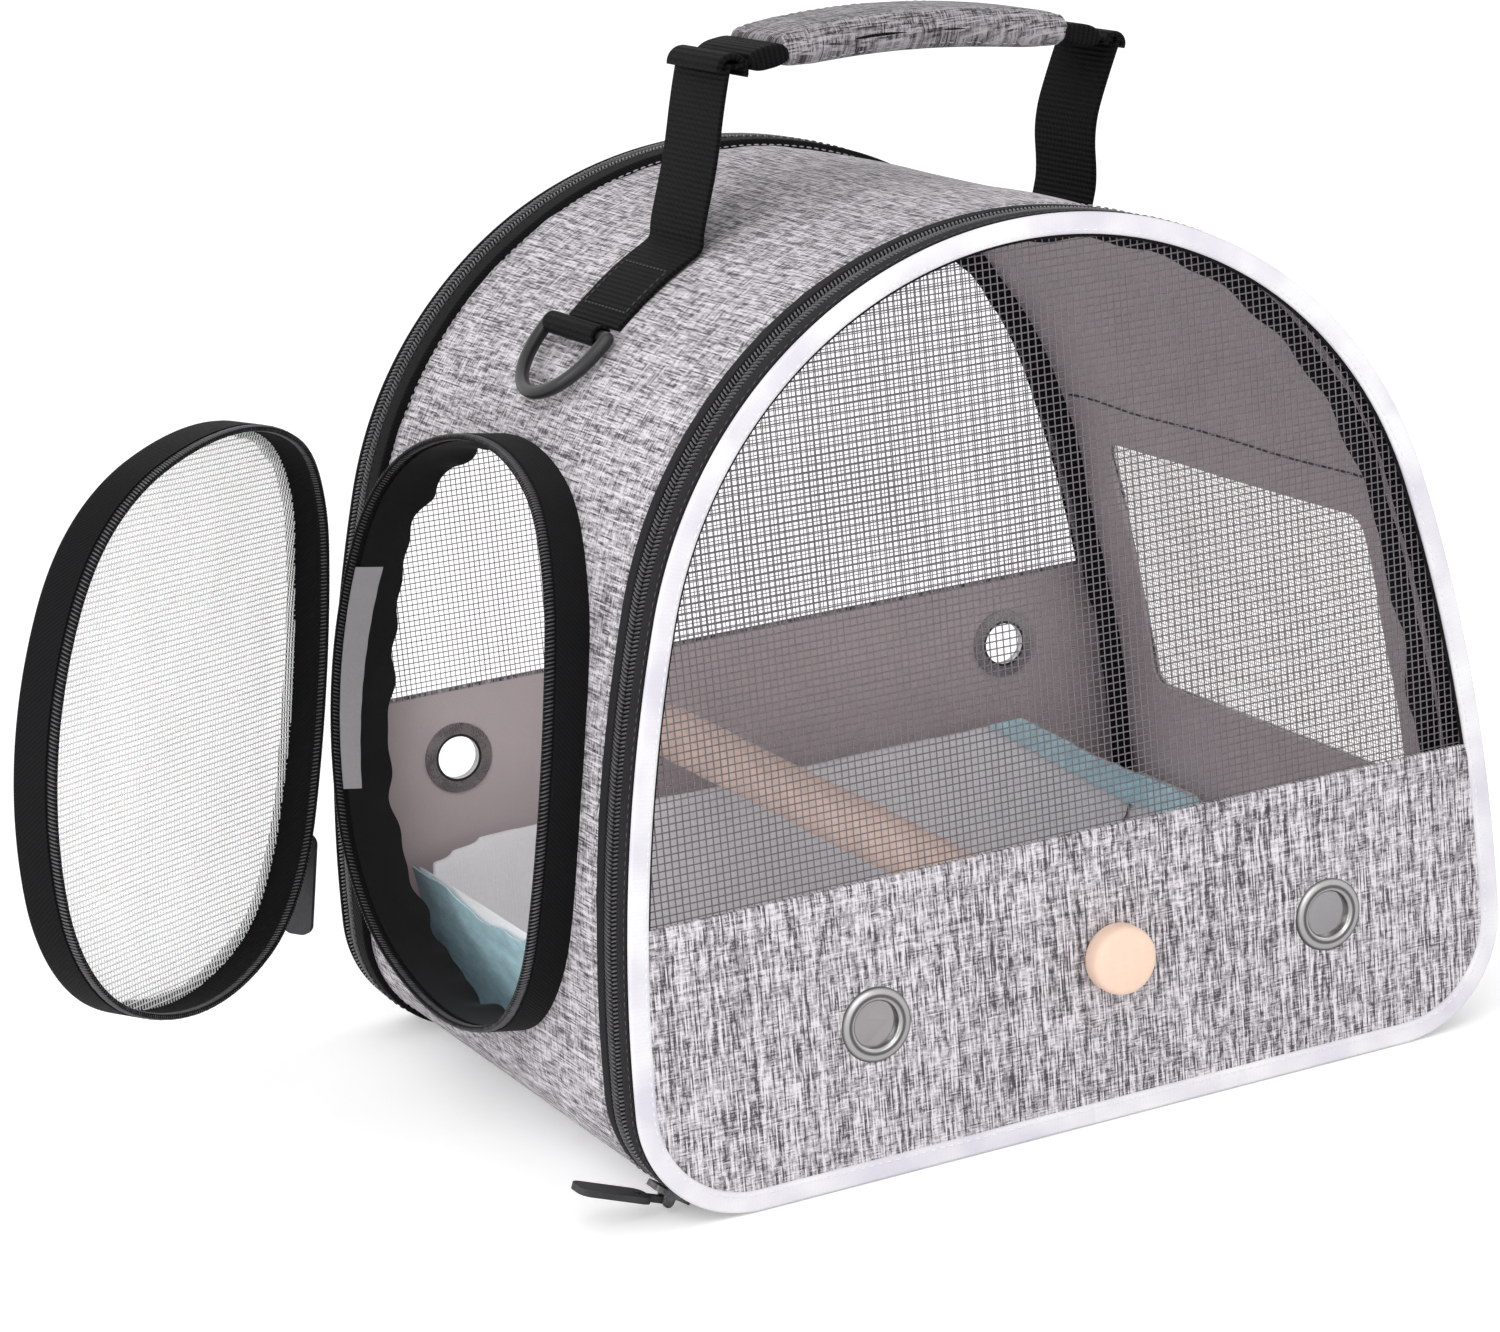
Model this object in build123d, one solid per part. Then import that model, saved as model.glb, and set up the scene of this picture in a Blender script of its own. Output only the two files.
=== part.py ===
from build123d import *
import os
from math import asin, atan2, cos, pi, radians, sin, sqrt

# A soft travel carrier for a small bird.  Millimetres, +Z up, +X to the right and -Y
# out of the front panel.  The origin is the middle of the underside of the floor.

# ---- driving dimensions -----------------------------------------------------------
width = 300.0            # across the widest part of the body
depth = 240.0            # front face to back face
height = 280.0           # floor to the top of the roof
corner_r = 37.0          # radius of the two bottom corners
roof_taper = 15.0        # how much smaller than half the width the roof's arc is

shell_t = 1.6            # outer fabric and its stiffener
lining_t = 0.8           # inner lining
tape_t = 1.6             # zip tape
coil_t = 2.4             # zip coil, outside to inside
move_gap = 0.3           # between soft pieces that move past each other

front_panel_tape_w = 10.0  # widths along Y, from the front face backwards
front_coil_w = 4.5         # one half of the coil
front_body_tape_w = 5.0
back_panel_tape_w = 4.0    # widths along Y, from the back face forwards
back_coil_w = 4.5
back_body_tape_w = 9.0
back_welt = 2.2            # how far the back zip stands out of the body

binding_w = 6.5          # edge binding of the end panels, seen from the front
binding_t = 2.2
mesh_t = 0.8
net_cells = 12           # openings across each end panel's net, in place of its fine mesh
net_bar = 5.0            # width of the bars between them
band_t = 1.2             # fabric band low on each end panel
band_lining_t = 1.0
band_lap = 6.0           # how far the band covers the mesh
panel_lap = 1.5          # how far inside the outline the panels' cloth ends
wire_r = 1.2             # spring wire that holds each end panel's arch
front_band_z = 92.5      # top edge of the front band
back_band_z = 110.0
seam_binding_w = 8.0     # gathered binding that stands in from the seams inside the body
seam_binding_t = 2.6

eyelet_bore_r = 7.3
eyelet_wall = 0.9
eyelet_flange_r = 12.0
eyelet_flange_t = 0.9
eyelet_washer_t = 0.8
front_eyelet_x = 79.0    # half their spacing
front_eyelet_mid = 8.3   # they stand a little to the right, as the perch does
front_eyelet_z = 48.3
back_eyelet_x = 105.0
back_eyelet_z = 86.0

perch_x = 10.5           # where the perch is screwed through the front band
perch_z = 52.0
perch_r = 9.0
perch_l = 222.0
perch_yaw = 12.5         # degrees, towards the door
perch_rise = 9.0         # degrees
cap_r = 10.8
cap_t = 8.0
cap_edge = 1.0
screw_r = 2.0
screw_fit = 0.05         # radial running clearance of the cap on its screw
screw_in_cap = 6.0
screw_in_perch = 14.0
perch_washer_r = 8.0
perch_washer_t = 0.8

board_t = 3.0
board_gap = 5.9          # between the base board's ends and the seam bindings
pad_t = 4.0
pad_gap = 7.0            # between the pad and the zip at the front
pad_back_top = 66.0      # heights that the pad's loose edges climb to
pad_left_top = 60.0
pad_right_top = 36.0
pad_back_half = 98.0     # half width of the back flap along its top edge
pad_left_foot = 26.0     # from the widest part of the body to the left flap's foot
pad_left_lean = 8.0      # how far that flap leans out towards the wall
border_t = 0.5           # blue film
border_w = 14.0

door_sill = 34.5         # floor to the doorway
door_head = 61.5         # doorway to the top of the roof
door_front = 37.0        # front face to the doorway
door_rear = 27.0         # doorway to the back face
door_corner_r = 62.0
door_bulge = 4.0         # how much the door's sides bow out of its corners' tangents
door_angle = 47.0        # how far the door stands open
door_tape_t = 1.4
collar_h = 13.0          # zip collar round the doorway, out of the wall
collar_inside = 6.0      # gathered facing that reaches into the cabin
facing_t = 0.8
rim_h = 13.0             # the door's own rim
door_coil_w = 3.5
door_coil_t = 2.6
door_mesh_t = 0.8
door_band_w = 4.0        # edge of the door's face
hinge_tape_l = 64.0      # grey tape over the door's fold
hinge_tape_t = 0.5
hinge_tape_gap = 1.0

window_front = 11.7      # from the front end of the outer fabric
window_rear = 9.7        # from its back end
window_sill = 65.0       # floor to the window
window_head = 114.0      # window to the top of the roof
window_r = 12.0
window_mesh_t = 0.6
window_edge_w = 6.0

web_w = 38.0             # webbing
web_t = 1.6
strap_l = 34.0           # webbing sewn to the roof, along X, past each fold
handle_x = 8.0           # the handle stands a little to the right of the middle
handle_span = 136.0      # between the two folds at the roof
riser_l = 54.0
riser_lean = 16.0        # degrees, to the right
grip_rise = 8.0          # arch of the grip above its two ends
grip_l = 100.0
grip_w = 42.0
grip_t = 13.0
grip_round = 6.0
cuff_l = 11.0
cuff_t = 4.6
fold_gap = 2.4           # from a fold line at the top of the handle to the grip's webbing
cuff_fit = 0.1           # between the cuffs and the webbing that runs through them

ring_wire_r = 2.2
ring_inner_w = 40.0
ring_reach = 24.0        # bar's centre to the far side's centre
ring_tab_fit = 0.1
ring_tab_t = 1.5

slider_l = 13.0
slider_w = 9.6
slider_t = 1.8
slider_lap = 1.5         # how far a slider on the body reaches over the end panel's coil
ear_t = 1.2
ear_gap = 3.2
pull_fit = 0.25          # clearance round the pull's eye
pull_neck = 6.0
pull_l = 24.0
door_pull_l = 34.0
pull_w = 10.5
pull_t = 2.0
pull_eye_r = 1.5
pin_r = 0.8              # pin between the slider's ears that holds the pull
pin_fit = 0.05           # radial running clearance of the pull on its pin
pull_hole = 3.4
pull_swing = 14.0        # degrees that each pull stands off its zip
door_pull_swing = 162.0
front_slider_at = 235.0  # degrees round the front left bottom corner
back_slider_at = 305.0   # degrees round the back right bottom corner
door_slider_at = 198.0   # degrees round the door's lower rear corner

# ---- derived ----------------------------------------------------------------------
half_w = width / 2
front = -depth / 2
back = depth / 2
roof_r = half_w - roof_taper
roof_z = height - roof_r
rise = roof_z - corner_r
side_r = (half_w ** 2 + rise ** 2 - roof_r ** 2) / (2 * (half_w - roof_r))
side_angle = atan2(rise, side_r - half_w)
front_parting = front + front_panel_tape_w + front_coil_w
back_parting = back - back_panel_tape_w - back_coil_w
shell_front = front_parting + move_gap + front_coil_w + front_body_tape_w
shell_back = back_parting - move_gap - back_coil_w - back_body_tape_w
inside = shell_t + lining_t
everywhere = 2 * (width + depth + height)

door_w = depth - door_front - door_rear
door_h = height - door_sill - door_head
door_y = (door_front - door_rear) / 2
door_z = door_sill + door_h / 2
window_y0 = shell_front + window_front
window_y1 = shell_back - window_rear
window_z0 = window_sill
window_z1 = height - window_head


# ---- shapes that many pieces share --------------------------------------------------
def arc(centre, radius, start, end, place):
    """An arc from start to end (radians), put into space by place(u, v)."""
    at = [(centre[0] + radius * cos(a), centre[1] + radius * sin(a))
          for a in (start, (start + end) / 2, end)]
    return ThreePointArc(*[place(u, v) for u, v in at])


def prism(inset, y0, y1):
    """The body's arched outline, drawn in by inset, from y0 to y1."""
    def place(u, v):
        return (u, y0, v)

    turn = side_angle
    left = [
        arc((side_r - half_w, corner_r), side_r - inset, pi - turn, pi, place),
        arc((corner_r - half_w, corner_r), corner_r - inset, pi, 1.5 * pi, place),
    ]
    right = [
        arc((half_w - corner_r, corner_r), corner_r - inset, -pi / 2, 0, place),
        arc((half_w - side_r, corner_r), side_r - inset, 0, turn, place),
    ]
    floor = Line(place(corner_r - half_w, inset), place(half_w - corner_r, inset))
    roof = arc((0, roof_z), roof_r - inset, turn, pi - turn, place)
    return extrude(make_face([*left, floor, *right, roof]), amount=y1 - y0, dir=(0, 1, 0))


def ring(outer, inner, y0, y1):
    """A closed band that follows the body's outline."""
    return prism(outer, y0, y1) - prism(inner, y0, y1)


def block(x0, x1, y0, y1, z0, z1):
    """A box between two corners."""
    return Pos((x0 + x1) / 2, (y0 + y1) / 2, (z0 + z1) / 2) * Box(x1 - x0, y1 - y0, z1 - z0)


def above(z):
    return block(-everywhere, everywhere, -everywhere, everywhere, z, everywhere)


def below(z):
    return block(-everywhere, everywhere, -everywhere, everywhere, -everywhere, z)


def rod(p, q, radius):
    """A round bar from p to q."""
    run = Vector(*q) - Vector(*p)
    return extrude(Plane(origin=p, z_dir=run) * Circle(radius), amount=run.length)


def keep(shape):
    """The solids of a shape, as one compound with clean faces."""
    return Compound(children=[s.clean() for s in shape.solids()])


parts = {}


def add(name, shape):
    parts[name] = keep(shape)


# ---- body -----------------------------------------------------------------------------
def side_at(z):
    """Half width of the body at height z, below the roof's arc."""
    return half_w - side_r + sqrt(side_r ** 2 - (z - corner_r) ** 2)


door_tilt = asin((door_z - corner_r) / side_r)
door_out = (-cos(door_tilt), 0, sin(door_tilt))
door_plane = Plane(origin=(-side_at(door_z), door_y, door_z), x_dir=(0, -1, 0), z_dir=door_out)
door_reach = collar_h + rim_h + half_w / 2
door_su = door_w / 2 - door_corner_r
door_sv = door_h / 2 - door_corner_r
door_a = door_su - door_bulge    # corner centres, from the middle of the door
door_b = door_sv - door_bulge


def oval(inset):
    """The doorway's outline, drawn in by inset, as a prism through the left wall."""
    a, b, q = door_a, door_b, door_corner_r
    side = (a * a + b * b - door_su ** 2) / (2 * (door_su - a))
    top = (a * a + b * b - door_sv ** 2) / (2 * (door_sv - b))
    t0 = atan2(b, a + side)
    t1 = atan2(b + top, a)

    def place(u, v):
        return door_plane.from_local_coords((u, v, -door_reach))

    edges = []
    for k, (sx, sy) in enumerate(((1, 1), (-1, 1), (-1, -1), (1, -1))):
        span = (t0, t1) if k % 2 == 0 else (pi / 2 - t1, pi / 2 - t0)
        turn = k * pi / 2
        edges.append(arc((sx * a, sy * b), q - inset, span[0] + turn, span[1] + turn, place))
    edges.append(arc((-side, 0), side + door_su + q - inset, -t0, t0, place))
    edges.append(arc((0, -top), top + door_sv + q - inset, t1, pi - t1, place))
    edges.append(arc((side, 0), side + door_su + q - inset, pi - t0, pi + t0, place))
    edges.append(arc((0, top), top + door_sv + q - inset, pi + t1, 2 * pi - t1, place))
    return extrude(make_face(edges), amount=2 * door_reach, dir=door_plane.z_dir)


door_y0 = door_y - door_w / 2 - door_bulge
door_y1 = door_y + door_w / 2 + door_bulge


def wall_layer(low, high):
    """The space between two heights above the left wall's outside, near the doorway."""
    layer = prism(-high, door_y0, door_y1) - prism(-low, door_y0, door_y1)
    return layer & block(-everywhere, -half_w / 4, door_y0, door_y1, 0, everywhere)


def door_band(outer, inner, low, high):
    """A band round the doorway, between two heights above the wall."""
    return (oval(outer) - oval(inner)) & wall_layer(low, high)


def window(inset):
    """The right wall's window, drawn in by inset, as a bar through the wall."""
    bar = block(half_w / 2, everywhere, window_y0 + inset, window_y1 - inset,
                window_z0 + inset, window_z1 - inset)
    return fillet(bar.edges().filter_by(Axis.X), window_r - inset)


def right_wall(low, high):
    """The right wall's layer between two depths below its outside."""
    return ring(low, high, window_y0, window_y1)


doorway = oval(0)
window_cut = window(0)
mesh_depth = (shell_t - window_mesh_t) / 2
add("shell_fabric", ring(0, shell_t, shell_front, shell_back) - doorway - window_cut)
add("shell_lining", ring(shell_t, inside, shell_front - front_body_tape_w,
                         shell_back + back_body_tape_w) - doorway - window_cut)
add("window_mesh", window_cut & right_wall(mesh_depth, mesh_depth + window_mesh_t))
add("window_edging", (window_cut - window(window_edge_w)) & right_wall(0, mesh_depth))

lining_front = shell_front - front_body_tape_w
lining_back = shell_back + back_body_tape_w
add("front_body_tape", ring(0, tape_t, lining_front, shell_front))
add("front_body_coil", ring(0, coil_t, lining_front - front_coil_w, lining_front))
add("back_body_tape", ring(-back_welt, tape_t, shell_back, lining_back) & above(0))
add("back_body_coil", ring(-back_welt, coil_t, lining_back, lining_back + back_coil_w) & above(0))
for end, y0 in (("front", lining_front), ("back", lining_back - seam_binding_t)):
    add(end + "_seam_binding", ring(inside, inside + seam_binding_w, y0, y0 + seam_binding_t))

# ---- floor ------------------------------------------------------------------------------
board_y0 = lining_front + seam_binding_t + board_gap
board_y1 = lining_back - seam_binding_t - board_gap
board_z = inside + board_t
add("base_board", prism(inside, board_y0, board_y1) & below(board_z))

pad_y0 = board_y0 + pad_gap
pad_y1 = board_y1
pad_z = board_z + pad_t
border_in = inside + move_gap
pad_room = prism(border_in, pad_y0, pad_y1)
right_half = block(0, half_w, pad_y0, pad_y1, 0, height)


def upright(points, y0, y1):
    """A plate between two depths whose outline is given as (x, z) points."""
    face = make_face(Polyline(*[(x, y0, z) for x, z in points], close=True))
    return extrude(face, amount=y1 - y0, dir=(0, 1, 0))


def left_flap(out, thick, z0):
    """The pad's left flap, or a layer of it, from height z0 to its top edge."""
    foot = pad_left_foot - half_w
    lean_at = pad_left_lean / (pad_left_top - board_z)
    low = foot - lean_at * (z0 - board_z) - out
    high = foot - pad_left_lean - out
    return upright([(low, z0), (low + thick, z0), (high + thick, pad_left_top),
                    (high, pad_left_top)], pad_y0, pad_y1)


wall_x = half_w - border_in
back_flap = [(pad_left_foot - half_w + pad_t / 2, board_z),
             (pad_left_foot - half_w - pad_left_lean + pad_t / 2, pad_left_top - pad_t),
             (-pad_back_half - pad_t, pad_back_top), (pad_back_half, pad_back_top),
             (wall_x, pad_right_top), (wall_x, board_z)]
floor_part = prism(inside, pad_y0, pad_y1) & above(board_z) & below(pad_z)
right_flap = (ring(border_in, border_in + pad_t, pad_y0, pad_y1) & right_half
              & above(board_z) & below(pad_right_top))
add("floor_pad", floor_part + right_flap + left_flap(0, pad_t, board_z)
    + (upright(back_flap, pad_y1 - pad_t, pad_y1) & pad_room))
film = border_in + pad_t
right_film = (ring(film, film + border_t, pad_y0, pad_y1 - pad_t - border_t) & right_half
              & above(pad_right_top - border_w) & below(pad_right_top))
back_film = upright([(pad_back_half - border_w, pad_back_top), (pad_back_half, pad_back_top),
                     (wall_x, pad_right_top), (wall_x, pad_right_top - border_w)],
                    pad_y1 - pad_t - border_t, pad_y1 - pad_t) & prism(film, pad_y0, pad_y1)
add("pad_border", right_film + back_film + left_flap(border_t, border_t, pad_z))

# ---- end panels ---------------------------------------------------------------------------
def eyelet(x, z, face, into):
    """A flanged tube through an end panel's band; face is its outer face and into its depth."""
    flange = rod((x, face, z), (x, face + into * eyelet_flange_t, z), eyelet_flange_r)
    length = eyelet_flange_t + band_t + band_lining_t + eyelet_washer_t
    barrel = rod((x, face, z), (x, face + into * length, z), eyelet_bore_r + eyelet_wall)
    bore = rod((x, face - into, z), (x, face + into * (length + 1), z), eyelet_bore_r)
    return flange + barrel - bore


def slab(outer, z0, z1, face, into, t0, t1):
    """A flat piece of an end panel between two depths behind its outer face."""
    ys = sorted((face + into * t0, face + into * t1))
    piece = prism(outer, ys[0], ys[1])
    return piece & block(-half_w, half_w, ys[0], ys[1], z0, z1)


def panel_ring(outer, inner, face, into, t0, t1):
    ys = sorted((face + into * t0, face + into * t1))
    return ring(outer, inner, ys[0], ys[1])


def net(sheet, band_z):
    """A sheet of net with a plain grid of openings, inside the binding and over the band."""
    bounds = sheet.bounding_box()
    y0, y1 = bounds.min.Y, bounds.max.Y
    pitch = width / net_cells
    low = band_z + net_bar
    open_part = prism(binding_w + net_bar, y0, y1) & above(low)
    bars = [block(at - net_bar / 2, at + net_bar / 2, y0, y1, 0, height)
            for at in (pitch * k for k in range(-net_cells // 2, net_cells // 2 + 1))]
    rows = int((height - low) / pitch)
    bars += [block(-half_w, half_w, y0, y1, at, at + net_bar)
             for at in (low + pitch * k - net_bar for k in range(1, rows + 1))]
    openings = [s for s in (open_part - bars).solids() if s.volume > net_bar ** 2 * (y1 - y0)]
    return sheet - openings


def end_panel(end, face, into, tape_w, coil_w, band_z, eyelets, holes, welt):
    """Binding, mesh, band, tape, coil, wire and eyelets of one end panel."""
    back_of_binding = binding_t
    band_face = back_of_binding - band_t
    lining_end = back_of_binding + band_lining_t
    add(end + "_binding", panel_ring(0, binding_w, face, into, 0, back_of_binding))
    sheet = slab(panel_lap, band_z - band_lap, height, face, into,
                 back_of_binding, back_of_binding + mesh_t)
    add(end + "_mesh", net(sheet, band_z))
    band = slab(binding_w, 0, band_z, face, into, band_face, back_of_binding)
    lining = slab(panel_lap, 0, band_z - band_lap, face, into, back_of_binding, lining_end)
    for x, z, r in holes:
        hole = rod((x, face - into, z), (x, face + into * 2 * lining_end, z), r)
        band -= hole
        lining -= hole
    add(end + "_band", band)
    add(end + "_band_lining", lining)
    tape = panel_ring(-welt, tape_t, face, into, back_of_binding, tape_w)
    cloth_edge = prism(panel_lap, *sorted((face + into * back_of_binding,
                                           face + into * lining_end)))
    add(end + "_panel_tape", (tape - cloth_edge) & above(0))
    add(end + "_panel_coil", panel_ring(-welt, coil_t, face, into, tape_w, tape_w + coil_w)
        & above(0))
    eyelet_face = face + into * (band_face - eyelet_flange_t)
    rings = [eyelet(x, z, eyelet_face, into) for x, z in eyelets]
    add(end + "_eyelets", Compound(children=rings))
    washers = []
    for x, z in eyelets:
        y = face + into * lining_end
        disc = rod((x, y, z), (x, y + into * eyelet_washer_t, z), eyelet_flange_r)
        hole = rod((x, y - into, z), (x, y + into * 2 * eyelet_washer_t, z),
                   eyelet_bore_r + eyelet_wall)
        washers.append(disc - hole)
    add(end + "_eyelet_washers", Compound(children=washers))
    centre_y = face + into * (lining_end + wire_r)
    inset = max(tape_t, coil_t) + wire_r

    def place(u, v):
        return (u, centre_y, v)

    turn = side_angle
    loop = [
        arc((0, roof_z), roof_r - inset, turn, pi - turn, place),
        arc((side_r - half_w, corner_r), side_r - inset, pi - turn, pi, place),
        arc((corner_r - half_w, corner_r), corner_r - inset, pi, 1.5 * pi, place),
        Line(place(corner_r - half_w, inset), place(half_w - corner_r, inset)),
        arc((half_w - corner_r, corner_r), corner_r - inset, -pi / 2, 0, place),
        arc((half_w - side_r, corner_r), side_r - inset, 0, turn, place),
    ]
    path = Wire(loop)
    section = Plane(origin=path @ 0, z_dir=path % 0) * Circle(wire_r)
    add(end + "_frame_wire", sweep(section, path=path))


front_eyelets = [(front_eyelet_mid - front_eyelet_x, front_eyelet_z),
                 (front_eyelet_mid + front_eyelet_x, front_eyelet_z)]
back_eyelets = [(-back_eyelet_x, back_eyelet_z), (back_eyelet_x, back_eyelet_z)]
barrel_r = eyelet_bore_r + eyelet_wall
end_panel("front", front, 1, front_panel_tape_w, front_coil_w, front_band_z, front_eyelets,
          [(x, z, barrel_r) for x, z in front_eyelets] + [(perch_x, perch_z, screw_r)], 0)
end_panel("back", back, -1, back_panel_tape_w, back_coil_w, back_band_z, back_eyelets,
          [(x, z, barrel_r) for x, z in back_eyelets], back_welt)

# ---- perch -----------------------------------------------------------------------------------
band_front_y = front + binding_t - band_t
band_back_y = front + binding_t + band_lining_t
cap_y = band_front_y - perch_washer_t - move_gap
perch_y = band_back_y + perch_washer_t


def at_perch(y):
    return (perch_x, y, perch_z)


cap = rod(at_perch(cap_y), at_perch(cap_y - cap_t), cap_r)
cap = fillet(cap.edges().sort_by(Axis.Y)[0], cap_edge)
add("perch_cap", cap - rod(at_perch(cap_y + 1), at_perch(cap_y - screw_in_cap), screw_r + screw_fit))
screw = rod(at_perch(cap_y - screw_in_cap + move_gap), at_perch(perch_y + screw_in_perch), screw_r)
add("perch_screw", screw)
washers = [rod(at_perch(y), at_perch(y + perch_washer_t), perch_washer_r)
           - rod(at_perch(y - 1), at_perch(y + 2 * perch_washer_t), screw_r)
           for y in (band_front_y - perch_washer_t, band_back_y)]
add("perch_washers", Compound(children=washers))
yaw, lift_angle = radians(perch_yaw), radians(perch_rise)
perch_dir = Vector(-sin(yaw) * cos(lift_angle), cos(yaw) * cos(lift_angle), sin(lift_angle))
perch_start = Vector(*at_perch(perch_y))
perch_end = perch_start + perch_dir * perch_l
dowel = rod(tuple(perch_start - perch_dir * 2 * perch_r), tuple(perch_end), perch_r)
dowel = fillet(dowel.edges().sort_by(Axis.Y)[-1], perch_r / 6)
dowel &= block(-half_w, half_w, perch_y, back, 0, height)
add("perch_dowel", dowel - screw)

# ---- doorway collar ----------------------------------------------------------------------------
collar_tape_top = collar_h - door_coil_w
add("door_collar", door_band(0, door_tape_t, -inside, collar_tape_top))
add("door_collar_coil", door_band(0, door_coil_t, collar_tape_top, collar_h))
add("door_facing", door_band(door_tape_t, door_tape_t + facing_t,
                             -inside - collar_inside, collar_tape_top - hinge_tape_gap))
tape_in = door_tape_t + facing_t
tape_zone = door_plane * Box(door_w, hinge_tape_l, 2 * door_reach)
rear_zone = block(-everywhere, 0, door_y, back, 0, height)
add("door_hinge_tape", door_band(tape_in, tape_in + hinge_tape_t, hinge_tape_gap,
                                 collar_tape_top - hinge_tape_gap) & tape_zone & rear_zone)

# ---- door -----------------------------------------------------------------------------------------
rim_low = collar_h + move_gap
rim_top = rim_low + rim_h
door_hinge_at = door_plane.from_local_coords((-door_w / 2, 0, collar_h + move_gap / 2))
door_hinge = Axis(origin=door_hinge_at, direction=door_plane.y_dir)


def opened(shape):
    """A piece of the closed door, turned out to where the door stands open."""
    return shape.rotate(door_hinge, -door_angle)


add("door_coil", opened(door_band(0, door_coil_t, rim_low, rim_low + door_coil_w)))
add("door_rim", opened(door_band(0, door_tape_t, rim_low + door_coil_w, rim_top)
                       + door_band(0, door_band_w, rim_top, rim_top + door_tape_t)))
add("door_mesh", opened(oval(door_tape_t) & wall_layer(rim_top - door_mesh_t, rim_top)))

# ---- webbing handle ---------------------------------------------------------------------------------
lean = radians(riser_lean)
riser_end = Vector(riser_l * sin(lean), 0, riser_l * cos(lean))
feet = {}
for side, sign in (("left", -1), ("right", 1)):
    x = handle_x + sign * handle_span / 2
    foot_r = roof_r + web_t + move_gap + web_t / 2
    feet[side] = Vector(x, 0, roof_z + sqrt(foot_r ** 2 - x ** 2))
tops = {side: foot + riser_end for side, foot in feet.items()}


def flat_web(p, q, trim_p=0.0, trim_q=0.0):
    """Flat webbing between two fold lines, with rounded ends."""
    run = (q - p).normalized()
    a, b = p + run * trim_p, q - run * trim_q
    plane = Plane(origin=(a + b) / 2, x_dir=run, z_dir=run.cross(Vector(0, 1, 0)))
    shape = plane * Box((b - a).length, web_w, web_t)
    for end in (a, b):
        shape += rod((end.X, -web_w / 2, end.Z), (end.X, web_w / 2, end.Z), web_t / 2)
    return shape


for side in feet:
    add("riser_" + side, flat_web(feet[side], tops[side]))

grip_mid = (tops["left"] + tops["right"]) / 2
span = tops["right"] - tops["left"]
grip_up = Vector(0, 1, 0).cross(span).normalized() * -1
grip_top = grip_mid + grip_up * grip_rise
grip_path = ThreePointArc(tops["left"], grip_top, tops["right"])


def along_grip(shape_w, shape_t, start, end, corner=0.0):
    """A bar along the grip's arc between two lengths from its left end."""
    total = grip_path.length
    piece = grip_path.trim(start / total, end / total)
    plane = Plane(origin=piece @ 0, x_dir=(0, 1, 0), z_dir=piece % 0)
    face = RectangleRounded(shape_w, shape_t, corner) if corner else Rectangle(shape_w, shape_t)
    return sweep(plane * face, path=piece)


grip_total = grip_path.length
pad_start = (grip_total - grip_l) / 2
pad_end = (grip_total + grip_l) / 2
web = along_grip(web_w, web_t, fold_gap, grip_total - fold_gap)
fold_ends = [grip_path @ (at / grip_total) for at in (fold_gap, grip_total - fold_gap)]
rounds = [rod((p.X, -web_w / 2, p.Z), (p.X, web_w / 2, p.Z), web_t / 2) for p in fold_ends]
add("grip_strap", web + rounds[0] + rounds[1])
add("grip_pad", along_grip(grip_w, grip_t, pad_start, pad_end, grip_round) - web)
sleeve_w, sleeve_t = web_w + 2 * cuff_fit, web_t + 2 * cuff_fit
cuffs = [along_grip(web_w + web_t, cuff_t, a, b) - along_grip(sleeve_w, sleeve_t, a, b)
         for a, b in ((pad_start - cuff_l, pad_start), (pad_end, pad_end + cuff_l))]
add("grip_cuffs", Compound(children=cuffs))

# ---- roof straps and D-rings -----------------------------------------------------------------------
ring_bars, ring_outs, ring_holes = {}, {}, {}
for side, sign in (("left", -1), ("right", 1)):
    fold_x = feet[side].X - sign * web_t
    ring_x = fold_x + sign * strap_l
    tab_r = ring_wire_r + ring_tab_fit + ring_tab_t
    slope = asin(ring_x / roof_r)
    out = Vector(sin(slope), 0, cos(slope))
    bar = Vector(0, 0, roof_z) + out * (roof_r + tab_r)
    strap = prism(-web_t, -web_w / 2, web_w / 2) - prism(0, -web_w / 2, web_w / 2)
    xs = sorted((fold_x, ring_x))
    strap &= block(xs[0], xs[1], -web_w, web_w, roof_z, 2 * height)
    tube = (rod((bar.X, -web_w / 2, bar.Z), (bar.X, web_w / 2, bar.Z), tab_r)
            - rod((bar.X, -web_w, bar.Z), (bar.X, web_w, bar.Z), ring_wire_r + ring_tab_fit))
    add("roof_strap_" + side, (strap - rod((bar.X, -web_w, bar.Z), (bar.X, web_w, bar.Z), tab_r))
        + tube)
    down = Vector(sign * cos(slope), 0, -sign * sin(slope))
    ring_bars[side], ring_outs[side], ring_holes[side] = bar, out, bar + down * ring_reach / 2
    half = ring_inner_w / 2 + ring_wire_r
    a, b = bar + Vector(0, half, 0), bar - Vector(0, half, 0)
    knee = down * (ring_reach - half)
    tip = bar + down * ring_reach
    bow = Wire([Line(a, a + knee), ThreePointArc(a + knee, tip, b + knee), Line(b + knee, b)])
    bent = sweep(Plane(origin=a, z_dir=down) * Circle(ring_wire_r), path=bow)
    straight = rod(tuple(a), tuple(b), ring_wire_r)
    corners = [Pos(*p) * Sphere(ring_wire_r) for p in (a, b)]
    add("d_ring_" + side, bent + straight + corners[0] + corners[1])

# ---- zip sliders and pulls ------------------------------------------------------------------------------
eye_z = move_gap + slider_t + pull_fit + pull_eye_r  # the pull's axis, out from the zip


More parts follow.
